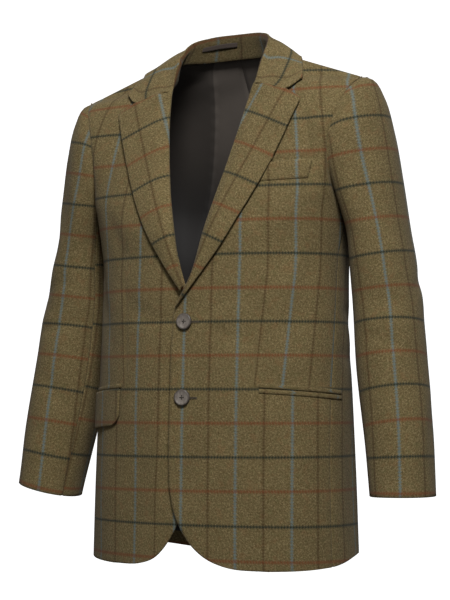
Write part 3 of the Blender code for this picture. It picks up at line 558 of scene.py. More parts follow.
def seam_pressed(grid, edges, depth=0.0005, reach=0.004):
    """Cloth drawn in a little beside the edges that are sewn to a neighbour."""
    from_left = run_along(grid, 1)
    from_bottom = run_along(grid, 0)
    distances = {
        "left": from_left,
        "right": from_left[:, -1:] - from_left,
        "bottom": from_bottom,
        "top": from_bottom[-1:] - from_bottom,
    }
    drawn = np.max([np.exp(-((distances[edge] / reach) ** 2)) for edge in edges], axis=0)
    return grid - normals_of(grid) * (depth * drawn)[..., None]


def inset(grid, left=0.0, right=0.0, bottom=0.0, top=0.0):
    """Grid with its edges drawn in, to leave the gaps of the seams."""
    def drawn(edge, beside, distance):
        away = beside - edge
        length = np.linalg.norm(away, axis=1, keepdims=True)
        return edge + away * np.minimum(distance / length, 0.5)

    grid = grid.copy()
    grid[:, 0] = drawn(grid[:, 0], grid[:, 1], left)
    grid[:, -1] = drawn(grid[:, -1], grid[:, -2], right)
    grid[0] = drawn(grid[0], grid[1], bottom)
    grid[-1] = drawn(grid[-1], grid[-2], top)
    return grid


def shell(name, outer, flat, wall, finishes):
    """Closed wall of cloth with rounded edges; its inner face is lined above the turned-in hem."""
    rows, columns = outer.shape[:2]
    inner = outer - normals_of(outer) * wall
    numbers = np.arange(rows * columns).reshape(rows, columns)
    quads = np.stack([numbers[:-1, :-1], numbers[:-1, 1:], numbers[1:, 1:], numbers[1:, :-1]], axis=-1)
    border = np.concatenate([numbers[0, :-1], numbers[:-1, -1], numbers[-1, :0:-1], numbers[:0:-1, 0]])
    pull = np.zeros_like(outer)
    pull[0] += unit(outer[0] - outer[1])
    pull[-1] += unit(outer[-1] - outer[-2])
    pull[:, 0] += unit(outer[:, 0] - outer[:, 1])
    pull[:, -1] += unit(outer[:, -1] - outer[:, -2])
    pull[[0, 0, -1, -1], [0, -1, 0, -1]] *= RIM_CORNER
    middle = ((outer + inner) / 2).reshape(-1, 3)[border] + pull.reshape(-1, 3)[border] * wall * RIM_ROUND
    count = rows * columns
    rim = 2 * count + np.arange(len(border))
    after = np.roll(border, -1)
    rim_after = np.roll(rim, -1)
    faces = np.concatenate([
        quads.reshape(-1, 4),
        np.stack([after, border, rim, rim_after], axis=-1),
        np.stack([rim_after, rim, border + count, after + count], axis=-1),
        (quads[..., ::-1] + count).reshape(-1, 4),
    ])
    points = np.concatenate([outer.reshape(-1, 3), inner.reshape(-1, 3), middle])
    mesh = bpy.data.meshes.new(name)
    mesh.from_pydata(points.tolist(), [], faces.tolist())
    for material in finishes:
        mesh.materials.append(material)
    if len(finishes) > 1:
        height = flat[..., 1] - flat[:1, :, 1]
        lined = (height[:-1, :-1] >= HEM_TURN).reshape(-1)
        slots = np.zeros(len(faces), dtype=np.int32)
        slots[-len(lined):] = lined
        mesh.polygons.foreach_set("material_index", slots)
    places = flat.reshape(-1, 2)
    places = np.concatenate([places, places, places[border]])
    corners = np.empty(len(mesh.loops), dtype=np.int32)
    mesh.loops.foreach_get("vertex_index", corners)
    layer = mesh.uv_layers.new(name=FLAT_MAP)
    layer.data.foreach_set("uv", places[corners].astype(np.float32).reshape(-1))
    mesh.shade_smooth()
    mesh.update()
    return mesh


def placed_piece(name, mesh, slot, node=None):
    """Finished piece of the root body, standing for a solid if one is named."""
    piece = bpy.data.objects.new(name, mesh)
    bpy.context.scene.collection.objects.link(piece)
    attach(piece, "root")
    if node:
        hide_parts(node)
    return piece


def right_hand(grid, flat):
    """Panel and flat places on the wearer's right, from those on the left."""
    return mirrored(grid), flat[:, ::-1] * np.array([-1.0, 1.0])


def dressed(node, grid, flat, under, slot="tweed", finishes=LINED, wall=CLOTH_WALL, held="stretched"):
    """Cloth panel that stands for a solid: posed and given its wall."""
    outer = tilted(grid)
    name = "cloth_" + node
    piece = placed_piece(name, shell(name, outer, flat, wall, finishes), slot, node)
    return piece


def underlapped(grid):
    """The right front near the centre, moved in under the left one and swung away at the hem."""
    grid = grid.copy()
    near = ease((UNDERLAP_REACH + grid[..., 0]) / UNDERLAP_REACH)
    low = ease((UNDERLAP_TOP + UNDERLAP_FADE - grid[..., 2]) / UNDERLAP_FADE)
    grid[..., 1] += UNDERLAP * near * low
    grid[..., 0] -= UNDERLAP_SWING * near * ease((SWING_FROM - grid[..., 2]) / SWING_FADE)
    return grid


def front_flat(grid):
    """Flat places of the left front; the dart brings the check closer at the waist, beside the pocket."""
    flat = np.stack([flat_widths(grid, grid[:, 0, 0]), flat_heights(grid)], axis=-1)
    (foot_u, foot_v), (head_u, head_v) = DART["foot"], DART["head"]
    share = np.clip((flat[..., 1] - foot_v) / (head_v - foot_v), 0, 1)
    line = foot_u + (head_u - foot_u) * share
    above = (flat[..., 1] > foot_v) * (flat[..., 1] < head_v)
    beside = ease((flat[..., 0] - line) / DART["fold"])
    flat[..., 0] += DART["take_up"] * (1 - share) * beside * above
    risen = np.clip((flat[..., 1] - CHEST_LEAN_FROM) / CHEST_LEAN_RISE, 0, CHEST_LEAN_MOST)
    flat[..., 0] += CHEST_LEAN * risen**2
    return flat


def edge_lifted(grid, flat):
    """Front edge sprung a little off the cloth under it, below the lapel."""
    inward = flat[..., 0] - flat[:, :1, 0]
    below = ease((EDGE_LIFT_FROM - flat[..., 1]) / EDGE_LIFT_FADE)
    below = below * ease(1 - (grid[:, :1, 0] + FRONT_LAP) / CORNER_FADE)
    lift = EDGE_LIFT * below * np.exp(-((inward / EDGE_LIFT_REACH) ** 2))
    return grid + normals_of(grid) * lift[..., None]


FRONT_GRID = inset(lofted(front_rows(), *FRONT_MESH), right=SEAM_GAP / 2, top=SEAM_GAP / 2)
FRONT_FLAT = front_flat(FRONT_GRID)
left = seam_pressed(creased(FRONT_GRID, FRONT_FLAT, FRONT_CREASES), ("right", "top"))
left = edge_lifted(left, FRONT_FLAT)
dressed("front_left", left, FRONT_FLAT, "side_left")
right = seam_pressed(creased(FRONT_GRID, FRONT_FLAT, FRONT_CREASES_RIGHT), ("right", "top"))
right, right_flat = right_hand(right, FRONT_FLAT)
dressed("front_right", underlapped(right), right_flat, "side_right")

# Side panels: one under each arm, from the hem to the armhole, sewn between front and back.
# Same tweed, with its lines level with the fronts.
FRONT_SEAM_AT_ARMHOLE = 168.0
BACK_SEAM_AT_ARMHOLE = 226.0
SIDE_MESH = (30, 0.0050)
SIDE_CHECK = 0.012
SIDE_CREASES = (
    (30, -350, 95, -385, 12, -1.9, 0.08),
    (20, -410, 100, -420, 13, -1.6, -0.06),
    (60, -520, 64, -680, 22, -1.9, 0.02),
)


def side_rows():
    """Outer face of the left side panel."""
    rows = []
    for height in ring_heights():
        ring = body_ring(height)
        rows.append(ring_row(height, ring["front_seam"], ring["back_seam"]))
    spread = BACK_SEAM_AT_ARMHOLE - FRONT_SEAM_AT_ARMHOLE
    rows.append(lambda s: armhole_point(FRONT_SEAM_AT_ARMHOLE + spread * s))
    return rows


SIDE_GRID = inset(lofted(side_rows(), *SIDE_MESH), left=SEAM_GAP / 2, right=SEAM_GAP / 2)
SIDE_FLAT = np.stack([flat_widths(SIDE_GRID, SIDE_CHECK), flat_heights(SIDE_GRID)], axis=-1)
side = seam_pressed(creased(SIDE_GRID, SIDE_FLAT, SIDE_CREASES), ("left", "right"))
dressed("side_left", side, SIDE_FLAT, "front_left", "tweed_shaded")
dressed("side_right", *right_hand(side, SIDE_FLAT), "front_right", "tweed_shaded")

# Backs: two halves sewn down the centre, shaped to the waist, from the hem to the neck and shoulders.
# Same tweed, with the lines level across the seam; plain, as a back without a vent is.
BACK_MESH = (60, 0.0048)
HALVINGS = 40
# Rows above the underarm: angle on the armhole, height and depth of the centre back
BACK_UPPER = (
    (226, -0.200, 0.1330),
    (250, -0.155, 0.1290),
    (275, -0.110, 0.1200),
    (300, -0.065, 0.1050),
    (325, -0.025, 0.0850),
    (345, 0.004, 0.0660),
    (353, 0.014, 0.0605),
)
BACK_CREASES = (
    (20, -330, 120, -352, 13, -2.2, 0.08),
    (15, -372, 135, -380, 14, -2.6, -0.06),
    (30, -412, 110, -405, 12, -1.6, 0.05),
    (165, -120, 120, -300, 18, -2.9, 0.05),
    (140, -100, 105, -230, 16, 1.9, 0.05),
    (70, -480, 80, -680, 30, -2.2, 0.02),
    (150, -470, 160, -680, 26, 2.2, 0.02),
)
BACK_CREASES_RIGHT = (
    (25, -345, 130, -335, 14, -2.2, -0.07),
    (10, -385, 120, -392, 13, -2.4, 0.06),
    (160, -130, 125, -290, 17, -2.7, 0.06),
    (135, -110, 110, -220, 15, 1.9, -0.04),
    (90, -490, 85, -680, 28, -2.1, -0.02),
    (155, -480, 150, -680, 25, 2.1, -0.02),
)


def neck_and_shoulder_row():
    """Top of a back: round the back of the neck, then out along the shoulder seam."""
    seam = rounded_row(np.array(NECK_SEAM["centre_back"]), np.array(SHOULDER_END))
    neck = np.array(NECK_SEAM["shoulder"])
    shoulder = np.array(SHOULDER_END)
    curve = np.array([NECK_SEAM[name] for name in ("centre_back", "back", "shoulder")])

    def row(s):
        x = seam(s)[0]
        if x >= neck[0]:
            return neck + (shoulder - neck) * (x - neck[0]) / (shoulder[0] - neck[0])
        low = 0.0
        high = 2.0
        for _ in range(HALVINGS):
            middle = (low + high) / 2
            if smooth((0, 1, 2), curve, middle)[0] < x:
                low = middle
            else:
                high = middle
        return smooth((0, 1, 2), curve, low)
    return row


def back_rows():
    """Outer face of the left back."""
    rows = [ring_row(height, 180, body_ring(height)["back_seam"]) for height in ring_heights()]
    for angle, height, depth in BACK_UPPER:
        rows.append(rounded_row(np.array([0, depth, height]), armhole_point(angle)))
    seam = neck_and_shoulder_row()
    rows.append(shifted_row(seam, (0, SHOULDER_LEVEL, 0)))
    rows.append(seam)
    return rows


BACK_SURFACE = lofted(back_rows(), *BACK_MESH)[:, ::-1]
BACK_GRID = inset(BACK_SURFACE, left=SEAM_GAP / 2, right=SEAM_GAP / 2, top=SEAM_GAP / 2)
from_centre = flat_widths(BACK_GRID[:, ::-1], 0.0)[:, ::-1]
BACK_FLAT = np.stack([from_centre, flat_heights(BACK_GRID)], axis=-1)
brown_on_seam = np.array([CHECK_WIDTH / 2, 0.0])
back = seam_pressed(creased(BACK_GRID, BACK_FLAT, BACK_CREASES), ("left", "right", "top"))
dressed("back_left", back, BACK_FLAT + brown_on_seam, "side_left")
back = seam_pressed(creased(BACK_GRID, BACK_FLAT, BACK_CREASES_RIGHT), ("left", "right", "top"))
back, back_flat = right_hand(back, BACK_FLAT)
dressed("back_right", back, back_flat + brown_on_seam, "side_right")

# Back lining: two halves of dark lining cloth hung inside the back, from the neck seam to the hem's turn-up.
# An ease pleat runs down the centre, so that one half folds over the other.
LINING_WALL = 0.0010
LINING_EASE = 0.0012
LINING_HEM = 0.016
LINING_SHORT = 3
PLEAT = {"place": 0.0394, "lean": -0.193, "depth": 0.0026, "fold": 0.0030, "shade": (0.50, 0.50, 0.50)}
LINING_CREASES = (
    (60, 0, 50, -260, 16, -0.6, 0.02),
    (110, -60, 90, -320, 20, -0.72, 0.03),
    (35, -120, 30, -420, 14, 0.48, 0.02),
    (140, -140, 115, -380, 18, -0.6, 0.03),
)
lining_rows = BACK_FLAT[:, 0, 1] > BACK_FLAT[0, 0, 1] + LINING_HEM
lining_surface = BACK_SURFACE[lining_rows, LINING_SHORT:]
lining_flat = BACK_FLAT[lining_rows, LINING_SHORT:]
lining_surface = lining_surface - normals_of(lining_surface) * (CLOTH_WALL + LINING_EASE)
lining_surface = creased(lining_surface, lining_flat, LINING_CREASES)
lining_grid = inset(lining_surface, left=2 * SEAM_GAP, top=SEAM_GAP)
dressed("lining_back_left", lining_grid, lining_flat, "back_left", "lining", (LINING,), LINING_WALL)
PLEAT["top"] = float(lining_flat[-1, -1, 1])
# The half beyond the pleat is darkened with painted shade.
LINING_PLEATED_PAINTED_SHADE = lining_finish("lining_pleated_painted_shade", LINING_TONES, PLEAT)
beyond = lining_flat[..., 0] - PLEAT["place"] - PLEAT["lean"] * (lining_flat[..., 1] - PLEAT["top"])
pleat = PLEAT["depth"] * ease(beyond / PLEAT["fold"])
lining_grid = lining_grid - normals_of(lining_grid) * pleat[..., None]
lining_grid, lining_flat = right_hand(lining_grid, lining_flat)
dressed("lining_back_right", lining_grid, lining_flat, "back_right", "lining", (LINING_PLEATED_PAINTED_SHADE,), LINING_WALL)

# Sleeves: each is a top sleeve and a narrow under sleeve, seamed in front and behind and eased into the
# armhole. Same tweed, its lines level with the body's; lined inside above the cuff's turn-up.
SLEEVE_COLUMNS = ("height", "spread", "back", "half_width", "half_depth")
SLEEVE_RINGS = {
    "underarm": (-0.250, 0.2310, 0.0140, 0.0400, 0.0640),
    "upper_arm": (-0.343, 0.2430, 0.0150, 0.0460, 0.0600),
    "elbow": (-0.430, 0.2520, 0.0070, 0.0475, 0.0570),
    "forearm": (-0.530, 0.2665, -0.0050, 0.0460, 0.0530),
    "cuff": (-0.608, 0.2760, -0.0170, 0.0440, 0.0500),
}
SLEEVE_SQUARENESS = 2.15
SLEEVE_STEP = 0.0045
TOP_SLEEVE_ACROSS = 90
UNDER_SLEEVE_ACROSS = 32
SLEEVE_SLOPE_STEP = 0.010
CUFF_LEVEL_FROM = 0.150
FULLER_SHARE = 0.09
FULLER_FADE = 0.100
SLEEVE_RING_STEPS = 3
SLEEVE_SEAMS = (-125.0, 146.0, 235.0)
SLEEVE_HALF_GAP = 0.95 * SEAM_GAP
CAP_STEPS = (0.0, 0.10, 0.25, 0.45, 0.70)
CAP_REACH = 0.105
CAP_FALL = 0.150
UNDERARM_REACH = 0.030
CAP_OUT = 0.12
CAP_FORWARD = 0.35
CAP_RISE = 0.16
SLEEVE_TUCK = 0.0080
# Share of the tuck that goes down at the crown and under the arm, that goes forward, and of its first row
TUCK_DOWN = (0.4, 0.9)
TUCK_FORWARD = 0.2
TUCK_START = 0.15
BLUE_ON_SLEEVE = 0.0610
SLEEVE_HEAD_LEAN = 0.0200
HEAD_LEAN_POWER = 5
BLUE_ON_SLEEVE_RIGHT = 0.0060
FOLD_COLUMNS = ("height", "angle", "half_length", "half_height", "depth", "slant")
SLEEVE_FOLDS = (
    (-0.300, 40, 55, 0.016, 0.0035, 0.10),
    (-0.345, 62, 50, 0.013, 0.0030, -0.12),
    (-0.385, -60, 45, 0.015, 0.0025, 0.10),
    (-0.250, 65, 40, 0.016, 0.0030, 0.16),
)
# Creases by u, v from the crown of the sleeve, u towards the front
SLEEVE_CREASES = (
    (55, -130, 75, -235, 12, -2.6, 0.04),
    (-30, -320, 30, -345, 10, -1.6, 0.1),
    (-70, -300, -10, -315, 11, -2.1, -0.08),
    (40, -420, 110, -395, 11, -2.2, 0.1),
    (-20, -480, 10, -590, 18, -1.6, 0.04),
)
SLEEVE_CREASES_RIGHT = (
    (50, -110, 80, -260, 13, -2.2, -0.05),
    (75, -150, 95, -250, 11, 2.2, 0.05),
    (20, -200, 50, -280, 12, -2.2, 0.08),
    (35, -330, 115, -300, 12, -2.2, 0.1),
    (40, -380, 120, -362, 12, -2.9, -0.08),
    (-30, -400, 30, -420, 12, -1.9, 0.08),
    (60, -440, 110, -500, 14, -1.9, 0.05),
)


def sleeve_ring(height, angle):
    """Point on the left sleeve's ring: angle 0 outside, 90 in front, 180 next to the body."""
    ring = dict(zip(SLEEVE_COLUMNS, at_height(SLEEVE_RINGS, height)))
    step = SLEEVE_SLOPE_STEP
    lean = (at_height(SLEEVE_RINGS, height + step) - at_height(SLEEVE_RINGS, height - step)) / (2 * step)
    turn = math.radians(angle)
    fold = 0.0
    for row in SLEEVE_FOLDS:
        crease = dict(zip(FOLD_COLUMNS, row))
        away = (angle - crease["angle"] + 180) % 360 - 180
        level = crease["height"] + crease["slant"] * math.radians(away) * ring["half_depth"]
        down = (height - level) / crease["half_height"]
        fold += crease["depth"] * math.exp(-(down**2) - (away / crease["half_length"]) ** 2)
    x = ring["spread"] + (ring["half_width"] - fold) * power(math.cos(turn), 2 / SLEEVE_SQUARENESS)
    y = ring["back"] - (ring["half_depth"] - fold) * power(math.sin(turn), 2 / SLEEVE_SQUARENESS)
    slope = lean[2] * float(ease((height - SLEEVE_RINGS["cuff"][0]) / CUFF_LEVEL_FROM))
    z = height - lean[1] * (x - ring["spread"]) - slope * (y - ring["back"])
    return np.array([x, y, z])


def cap_point(angle, f):
    """Point on the sleeve head, between the armhole and the first ring of the sleeve."""
    turn = math.radians(angle)
    top_share = (1 + math.cos(turn)) / 2
    rise = CAP_RISE * top_share - (1 - top_share)
    way = unit(np.array([CAP_OUT + top_share, -CAP_FORWARD * math.sin(turn), rise]))
    height = SLEEVE_RINGS["underarm"][0]
    start = armhole_point(angle) + way * SEAM_GAP + np.array([SEAM_GAP, 0.0, 0.0])
    end = sleeve_ring(height, angle)
    leave = way * (UNDERARM_REACH + (CAP_REACH - UNDERARM_REACH) * top_share)
    below = unit(sleeve_ring(height - 2 * SLEEVE_SLOPE_STEP, angle) - end)
    arrive = below * (UNDERARM_REACH + (CAP_FALL - UNDERARM_REACH) * top_share)
    return (
        (2 * f**3 - 3 * f**2 + 1) * start + (f**3 - 2 * f**2 + f) * leave
        + (3 * f**2 - 2 * f**3) * end + (f**3 - f**2) * arrive
    )


def sleeve_rows(start_angle, end_angle):
    """Outer face of part of the left sleeve, from the armhole to the cuff."""
    turn = end_angle - start_angle
    rows = [lambda s, f=f: cap_point(start_angle + turn * s, f) for f in CAP_STEPS]
    heights = [row[0] for row in SLEEVE_RINGS.values()]
    for low, high in zip(heights[:-1], heights[1:]):
        for part in range(SLEEVE_RING_STEPS):
            height = low + (high - low) * part / SLEEVE_RING_STEPS
            rows.append(lambda s, h=height: sleeve_ring(h, start_angle + turn * s))
    rows.append(lambda s: sleeve_ring(heights[-1], start_angle + turn * s))
    return rows


def sleeve_panel(start_angle, end_angle, across, crown_share):
    """Face of a sleeve panel from the cuff up, with its flat places, measured across from the crown."""
    grid = lofted(sleeve_rows(start_angle, end_angle), across, SLEEVE_STEP)
    grid = inset(grid, left=SLEEVE_HALF_GAP, right=SLEEVE_HALF_GAP)[::-1, ::-1]
    levels = grid[..., 2].mean(axis=1)
    first = int(np.argmin(np.abs(levels - SLEEVE_RINGS["underarm"][0])))
    round_it = run_along(grid, 1)
    u = round_it[:, -1:] * crown_share - round_it
    u[first:] = u[first] + SLEEVE_HEAD_LEAN * np.linspace(0, 1, len(u) - first)[:, None] ** HEAD_LEAN_POWER
    v = np.repeat(levels[:, None], across + 1, axis=1)
    v[first:] = v[first] + run_along(grid[first:], 0)
    turns = np.radians(np.linspace(end_angle, start_angle, across + 1))
    down = TUCK_DOWN[0] * np.maximum(np.cos(turns), 0) + TUCK_DOWN[1] * np.maximum(-np.cos(turns), 0)
    tuck = np.stack([-np.ones_like(turns), -TUCK_FORWARD * np.sin(turns), -down], axis=-1) * SLEEVE_TUCK
    grid = np.concatenate([grid, [grid[-1] + tuck * TUCK_START, grid[-1] + tuck]])
    u = np.concatenate([u, u[-1:], u[-1:]])
    v = np.concatenate([v, v[-1:] + TUCK_START * SLEEVE_TUCK, v[-1:] + SLEEVE_TUCK])
    return grid, np.stack([u, v], axis=-1)


def fuller(grid):
    """The sleeve that hangs fuller, widened between the underarm and the cuff."""
    heights = [row[0] for row in SLEEVE_RINGS.values()]
    cuff, underarm = min(heights), max(heights)
    grid = grid.copy()
    for point in grid.reshape(-1, 3):
        height = min(max(point[2], cuff), underarm)
        low = ease((underarm - height) / FULLER_FADE) * ease((height - cuff) / FULLER_FADE)
        point[0] += (point[0] - at_height(SLEEVE_RINGS, height)[1]) * FULLER_SHARE * low
    return grid


back_seam, front_seam, round_again = SLEEVE_SEAMS
crown = front_seam / (front_seam - back_seam)
sleeve_grid, sleeve_flat = sleeve_panel(back_seam, front_seam, TOP_SLEEVE_ACROSS, crown)
top = seam_pressed(creased(sleeve_grid, sleeve_flat, SLEEVE_CREASES), ("left", "right", "top"))
blue_line = np.array([BLUE_ON_SLEEVE, 0.0])
dressed("top_sleeve_left", top, sleeve_flat - blue_line, "under_sleeve_left")
top = seam_pressed(creased(sleeve_grid, sleeve_flat, SLEEVE_CREASES_RIGHT), ("left", "right", "top"))
blue_line = np.array([BLUE_ON_SLEEVE_RIGHT, 0.0])
dressed("top_sleeve_right", *right_hand(fuller(top), sleeve_flat - blue_line), "under_sleeve_right")
under_grid, under_flat = sleeve_panel(front_seam, round_again, UNDER_SLEEVE_ACROSS, 0.5)
under = seam_pressed(under_grid, ("left", "right", "top"))
dressed("under_sleeve_left", under, under_flat, "top_sleeve_left", "tweed_shaded")
dressed("under_sleeve_right", *right_hand(fuller(under), under_flat), "top_sleeve_right", "tweed_shaded")

# Lapels: the facings of the fronts, turned back along a soft roll and pressed to the chest.
# They are tweed cut along their outer edge, so the check leans with it.
LAPEL_WALL = 0.0020
LAPEL_ROWS = 100
LAPEL_COLUMNS = (22, 11)
LAPEL_NOTCH = (0.1165, -0.0500)
LAPEL_PEAK = (0.1415, -0.0660)
LAPEL_BELLY = 0.018
LAPEL_RISE = 0.0062
CREASE_RISE = 0.0031
CREASE_TURN = 0.25
LAPEL_FULLNESS = 0.0030
FULL_TO = 0.9
LAPEL_TIP_LEFT = 0.03
LAPEL_TIP_RIGHT = 0.115
NOTCH_SHARPNESS = 9
NOTCH_SHARE = 0.68
ROLL_RADIUS = 0.0029
ROLL_SHARE = 0.12
ROLL_TURNS = (165, 140, 115, 90, 68, 46, 23, 0)
LAPEL_GRAIN = 23.0
LAPEL_SLOPE = 1.065
LAPEL_BLUE = -0.0661
LAPEL_DARK = -0.0440


class Surface:
    """Finished face of a panel, found again from a place in front of it."""

    def __init__(self, grid, flat):
        self.layers = np.concatenate([grid, normals_of(grid), flat], axis=-1)
        self.across = np.gradient(self.layers, axis=1)
        self.along = np.gradient(self.layers, axis=0)

    def at(self, spread, height):
        """Point, normal and flat place at a distance from the centre and a height."""
        target = np.array([spread, height])
        away = ((self.layers[..., [0, 2]] - target) ** 2).sum(axis=-1)
        spot = np.unravel_index(np.argmin(away), away.shape)
        here, across, along = self.layers[spot], self.across[spot], self.along[spot]
        ways = np.column_stack([across[[0, 2]], along[[0, 2]]])
        step = np.linalg.solve(ways, target - here[[0, 2]])
        found = here + across * step[0] + along * step[1]
        return found[:3], unit(found[3:6]), found[6:]


def lapel_place(across, along):
    """Spread and height of a point of the left lapel: across from the crease, along from its foot."""
    break_height = ROLL_LINE["break"][0]
    gorge_height = ROLL_LINE["gorge"][0]
    crease = roll_point(break_height + (gorge_height - break_height) * along)[[0, 2]]
    foot = np.array([ROLL_LINE["break"][1], break_height])
    peak = np.array(LAPEL_PEAK)
    out = unit(np.array([(peak - foot)[1], -(peak - foot)[0]]))
    edge = foot + (peak - foot) * along + out * LAPEL_BELLY * math.sin(math.pi * along)
    top_of_crease = roll_point(gorge_height)[[0, 2]]
    notch = np.array(LAPEL_NOTCH)
    if across < NOTCH_SHARE:
        corner = top_of_crease + (notch - top_of_crease) * across / NOTCH_SHARE
    else:
        corner = notch + (peak - notch) * (across - NOTCH_SHARE) / (1 - NOTCH_SHARE)
    straight = top_of_crease + (peak - top_of_crease) * across
    return crease + (edge - crease) * across + (corner - straight) * along**NOTCH_SHARPNESS


def lapel_panel(surface, start):
    """Face of the left lapel with its roll round the front's edge, and its flat places."""
    peak = np.array(LAPEL_PEAK)
    lean = math.radians(LAPEL_GRAIN)
    lengthwise = np.array([math.sin(lean), math.cos(lean)])
    widthwise = np.array([lengthwise[1], -lengthwise[0]])
    to_notch = np.linspace(0, NOTCH_SHARE, LAPEL_COLUMNS[0])
    shares = np.concatenate([to_notch, np.linspace(NOTCH_SHARE, 1, LAPEL_COLUMNS[1])[1:]])
    grid = []
    flat = []
    for along in np.linspace(start, 1, LAPEL_ROWS):
        points = []
        places = []
        for across in shares:
            spread, height = lapel_place(across, along)
            point, normal, _ = surface.at(spread, height)
            rise = CREASE_RISE + (LAPEL_RISE - CREASE_RISE) * ease(across / CREASE_TURN)
            swell = math.sin(math.pi * across) * math.sin(math.pi * min(along, FULL_TO))
            points.append(point + normal * (rise + LAPEL_FULLNESS * swell))
            step = np.array([spread, height]) - peak
            level = step @ lengthwise * LAPEL_SLOPE - LAPEL_DARK + CHECK_HEIGHT_PLACE
            places.append([step @ widthwise - LAPEL_BLUE, level])
            if across == 0.0:
                out = normal
        opening = unit(points[0] - points[2])
        radius = min(ROLL_RADIUS, ROLL_SHARE * np.linalg.norm(points[-1] - points[0]))
        centre = points[0] - out * radius - opening * radius * 0.5
        turns = [math.radians(turn) for turn in ROLL_TURNS]
        roll = [centre + radius * (out * math.cos(turn) + opening * math.sin(turn)) for turn in turns]
        roll_places = [places[1] - np.array([radius * turn, 0.0]) for turn in turns]
        grid.append(roll + points[2:])
        flat.append(roll_places + places[2:])
    return np.array(grid), np.array(flat)


left_surface = Surface(left, FRONT_FLAT)
lapel = {"finishes": (TWEED,), "wall": LAPEL_WALL, "held": "folded"}
lapel_left, lapel_flat = lapel_panel(left_surface, LAPEL_TIP_LEFT)
dressed("lapel_left", lapel_left, lapel_flat, "front_left", **lapel)
lapel_right, lapel_flat = right_hand(*lapel_panel(Surface(FRONT_GRID, FRONT_FLAT), LAPEL_TIP_RIGHT))
dressed("lapel_right", lapel_right, lapel_flat, "front_right", **lapel)

# Collar: one turned-down piece from notch to notch, two layers of tweed shaped over canvas with an iron.
# Its stand rises from the neck seam, and the fall is turned over a soft fold to lie on the shoulders.
COLLAR_WALL = 0.0024
COLLAR_FOLD = {
    "centre_back": (0.0000, 0.0480, 0.0545),
    "back": (0.0400, 0.0380, 0.0515),
    "shoulder": (0.0640, 0.0120, 0.0380),
    "side": (0.0680, -0.0215, 0.0000),
    "gorge": (0.0650, -0.0410, -0.0360),
}
COLLAR_EDGE = {
    "centre_back": (0.0000, 0.0740, 0.0060),
    "back": (0.0720, 0.0580, 0.0040),
    "shoulder": (0.1135, 0.0080, 0.0065),
    "side": (0.1290, -0.0200, -0.0130),
    "gorge": (0.1368, -0.0400, -0.0320),
}
COLLAR_STATIONS = (0.0, 1.0, 2.0, 3.0, 4.0)
FOLD_RADIUS = 0.0036
FALL_SHARES = (0.34, 0.68)
FALL_FULLNESS = (0.0021, 0.0018)
STAND_HOLLOW = 0.0006
STAND_INSET = 0.0068
STAND_LEAST = 0.0060
COLLAR_EASE = 0.0016
STAND_DROP = 0.0060
COLLAR_DARK = 0.0417
COLLAR_BROWN = 0.0170
STAND_PAINTED_SHADE = 0.50
STAND_ROWS = 10
STAND_BROWN = -0.007
COLLAR_PARTS = (4, 4, 3, 3, 5, 6, 5)
COLLAR_COLUMNS = 61
MEASURED_ROW = 8
GORGE_COLUMNS = (0, 3, 7, 16, 27)
GORGE_BEHIND = 0.010

panel_points = np.concatenate([FRONT_GRID.reshape(-1, 3), BACK_GRID.reshape(-1, 3)])
panel_normals = np.concatenate([normals_of(FRONT_GRID).reshape(-1, 3), normals_of(BACK_GRID).reshape(-1, 3)])
# End of the collar: behind the roll, on the roll, then along the top of the lapel to the notch
gorge_row = lapel_left[-1]
behind = unit(gorge_row[12] - gorge_row[7]) * GORGE_BEHIND
GORGE_END = np.array([gorge_row[0] + behind, gorge_row[0] + behind / 2, *gorge_row[list(GORGE_COLUMNS)]])


def resting(point, clearance):
    """Point moved out from the panels under it, where it is nearer to them than the clearance."""
    nearest = int(np.argmin(((panel_points - point) ** 2).sum(axis=1)))
    height = float(np.dot(point - panel_points[nearest], panel_normals[nearest]))
    return point + panel_normals[nearest] * max(0.0, clearance - height)


def collar_section(station):
    """Points across the collar at one station: up the stand, over the fold and down the fall."""
    fold = smooth(COLLAR_STATIONS, list(COLLAR_FOLD.values()), station)
    edge = smooth(COLLAR_STATIONS, list(COLLAR_EDGE.values()), station)
    seam = smooth(COLLAR_STATIONS, list(NECK_SEAM.values()), station)
    out = edge - fold
    out[2] = 0.0
    out = unit(out)
    up = np.array([0.0, 0.0, 1.0])
    foot = seam - out * STAND_INSET
    foot[2] = min(foot[2], fold[2] - STAND_LEAST) - STAND_DROP
    clearance = COLLAR_WALL + COLLAR_EASE
    inner = fold - out * FOLD_RADIUS - up * FOLD_RADIUS
    fold = resting(fold, clearance)
    outer = fold + out * FOLD_RADIUS - up * FOLD_RADIUS
    middle = (foot + inner) / 2 - out * STAND_HOLLOW
    fullness = zip(FALL_SHARES, FALL_FULLNESS)
    fall = [outer + (edge - outer) * share + (out + up) * full for share, full in fullness]
    fall = [resting(point, clearance) for point in (outer, *fall, edge)]
    section = np.array([foot, middle, inner, fold, *fall])
    at_gorge = float(ease(station - COLLAR_STATIONS[-2]))
    section[:-1] += (GORGE_END - section[:-1]) * at_gorge
    return section


def collar_panel():
    """Face of the collar from notch to notch, with its flat places along and across it."""
    half = []
    for station in np.linspace(0, COLLAR_STATIONS[-1], COLLAR_COLUMNS):
        section = collar_section(station)
        knots = run_along(section, 0)
        half.append([smooth(knots, section, place) for place in split_up(knots, COLLAR_PARTS)])
    half = np.array(half).transpose(1, 0, 2)
    grid = np.concatenate([half[:, :0:-1] * np.array([-1.0, 1.0, 1.0]), half], axis=1)
    fold_row = sum(COLLAR_PARTS[:3])
    along = run_along(grid[fold_row + MEASURED_ROW], 0)
    along = along - along[len(along) // 2]
    across = run_along(grid, 0)
    across = across - across[fold_row]
    brown = np.broadcast_to(np.abs(along) - along[-1] + COLLAR_BROWN + CHECK_WIDTH / 2, across.shape)
    return grid, np.stack([brown, across - COLLAR_DARK + CHECK_HEIGHT_PLACE], axis=-1)


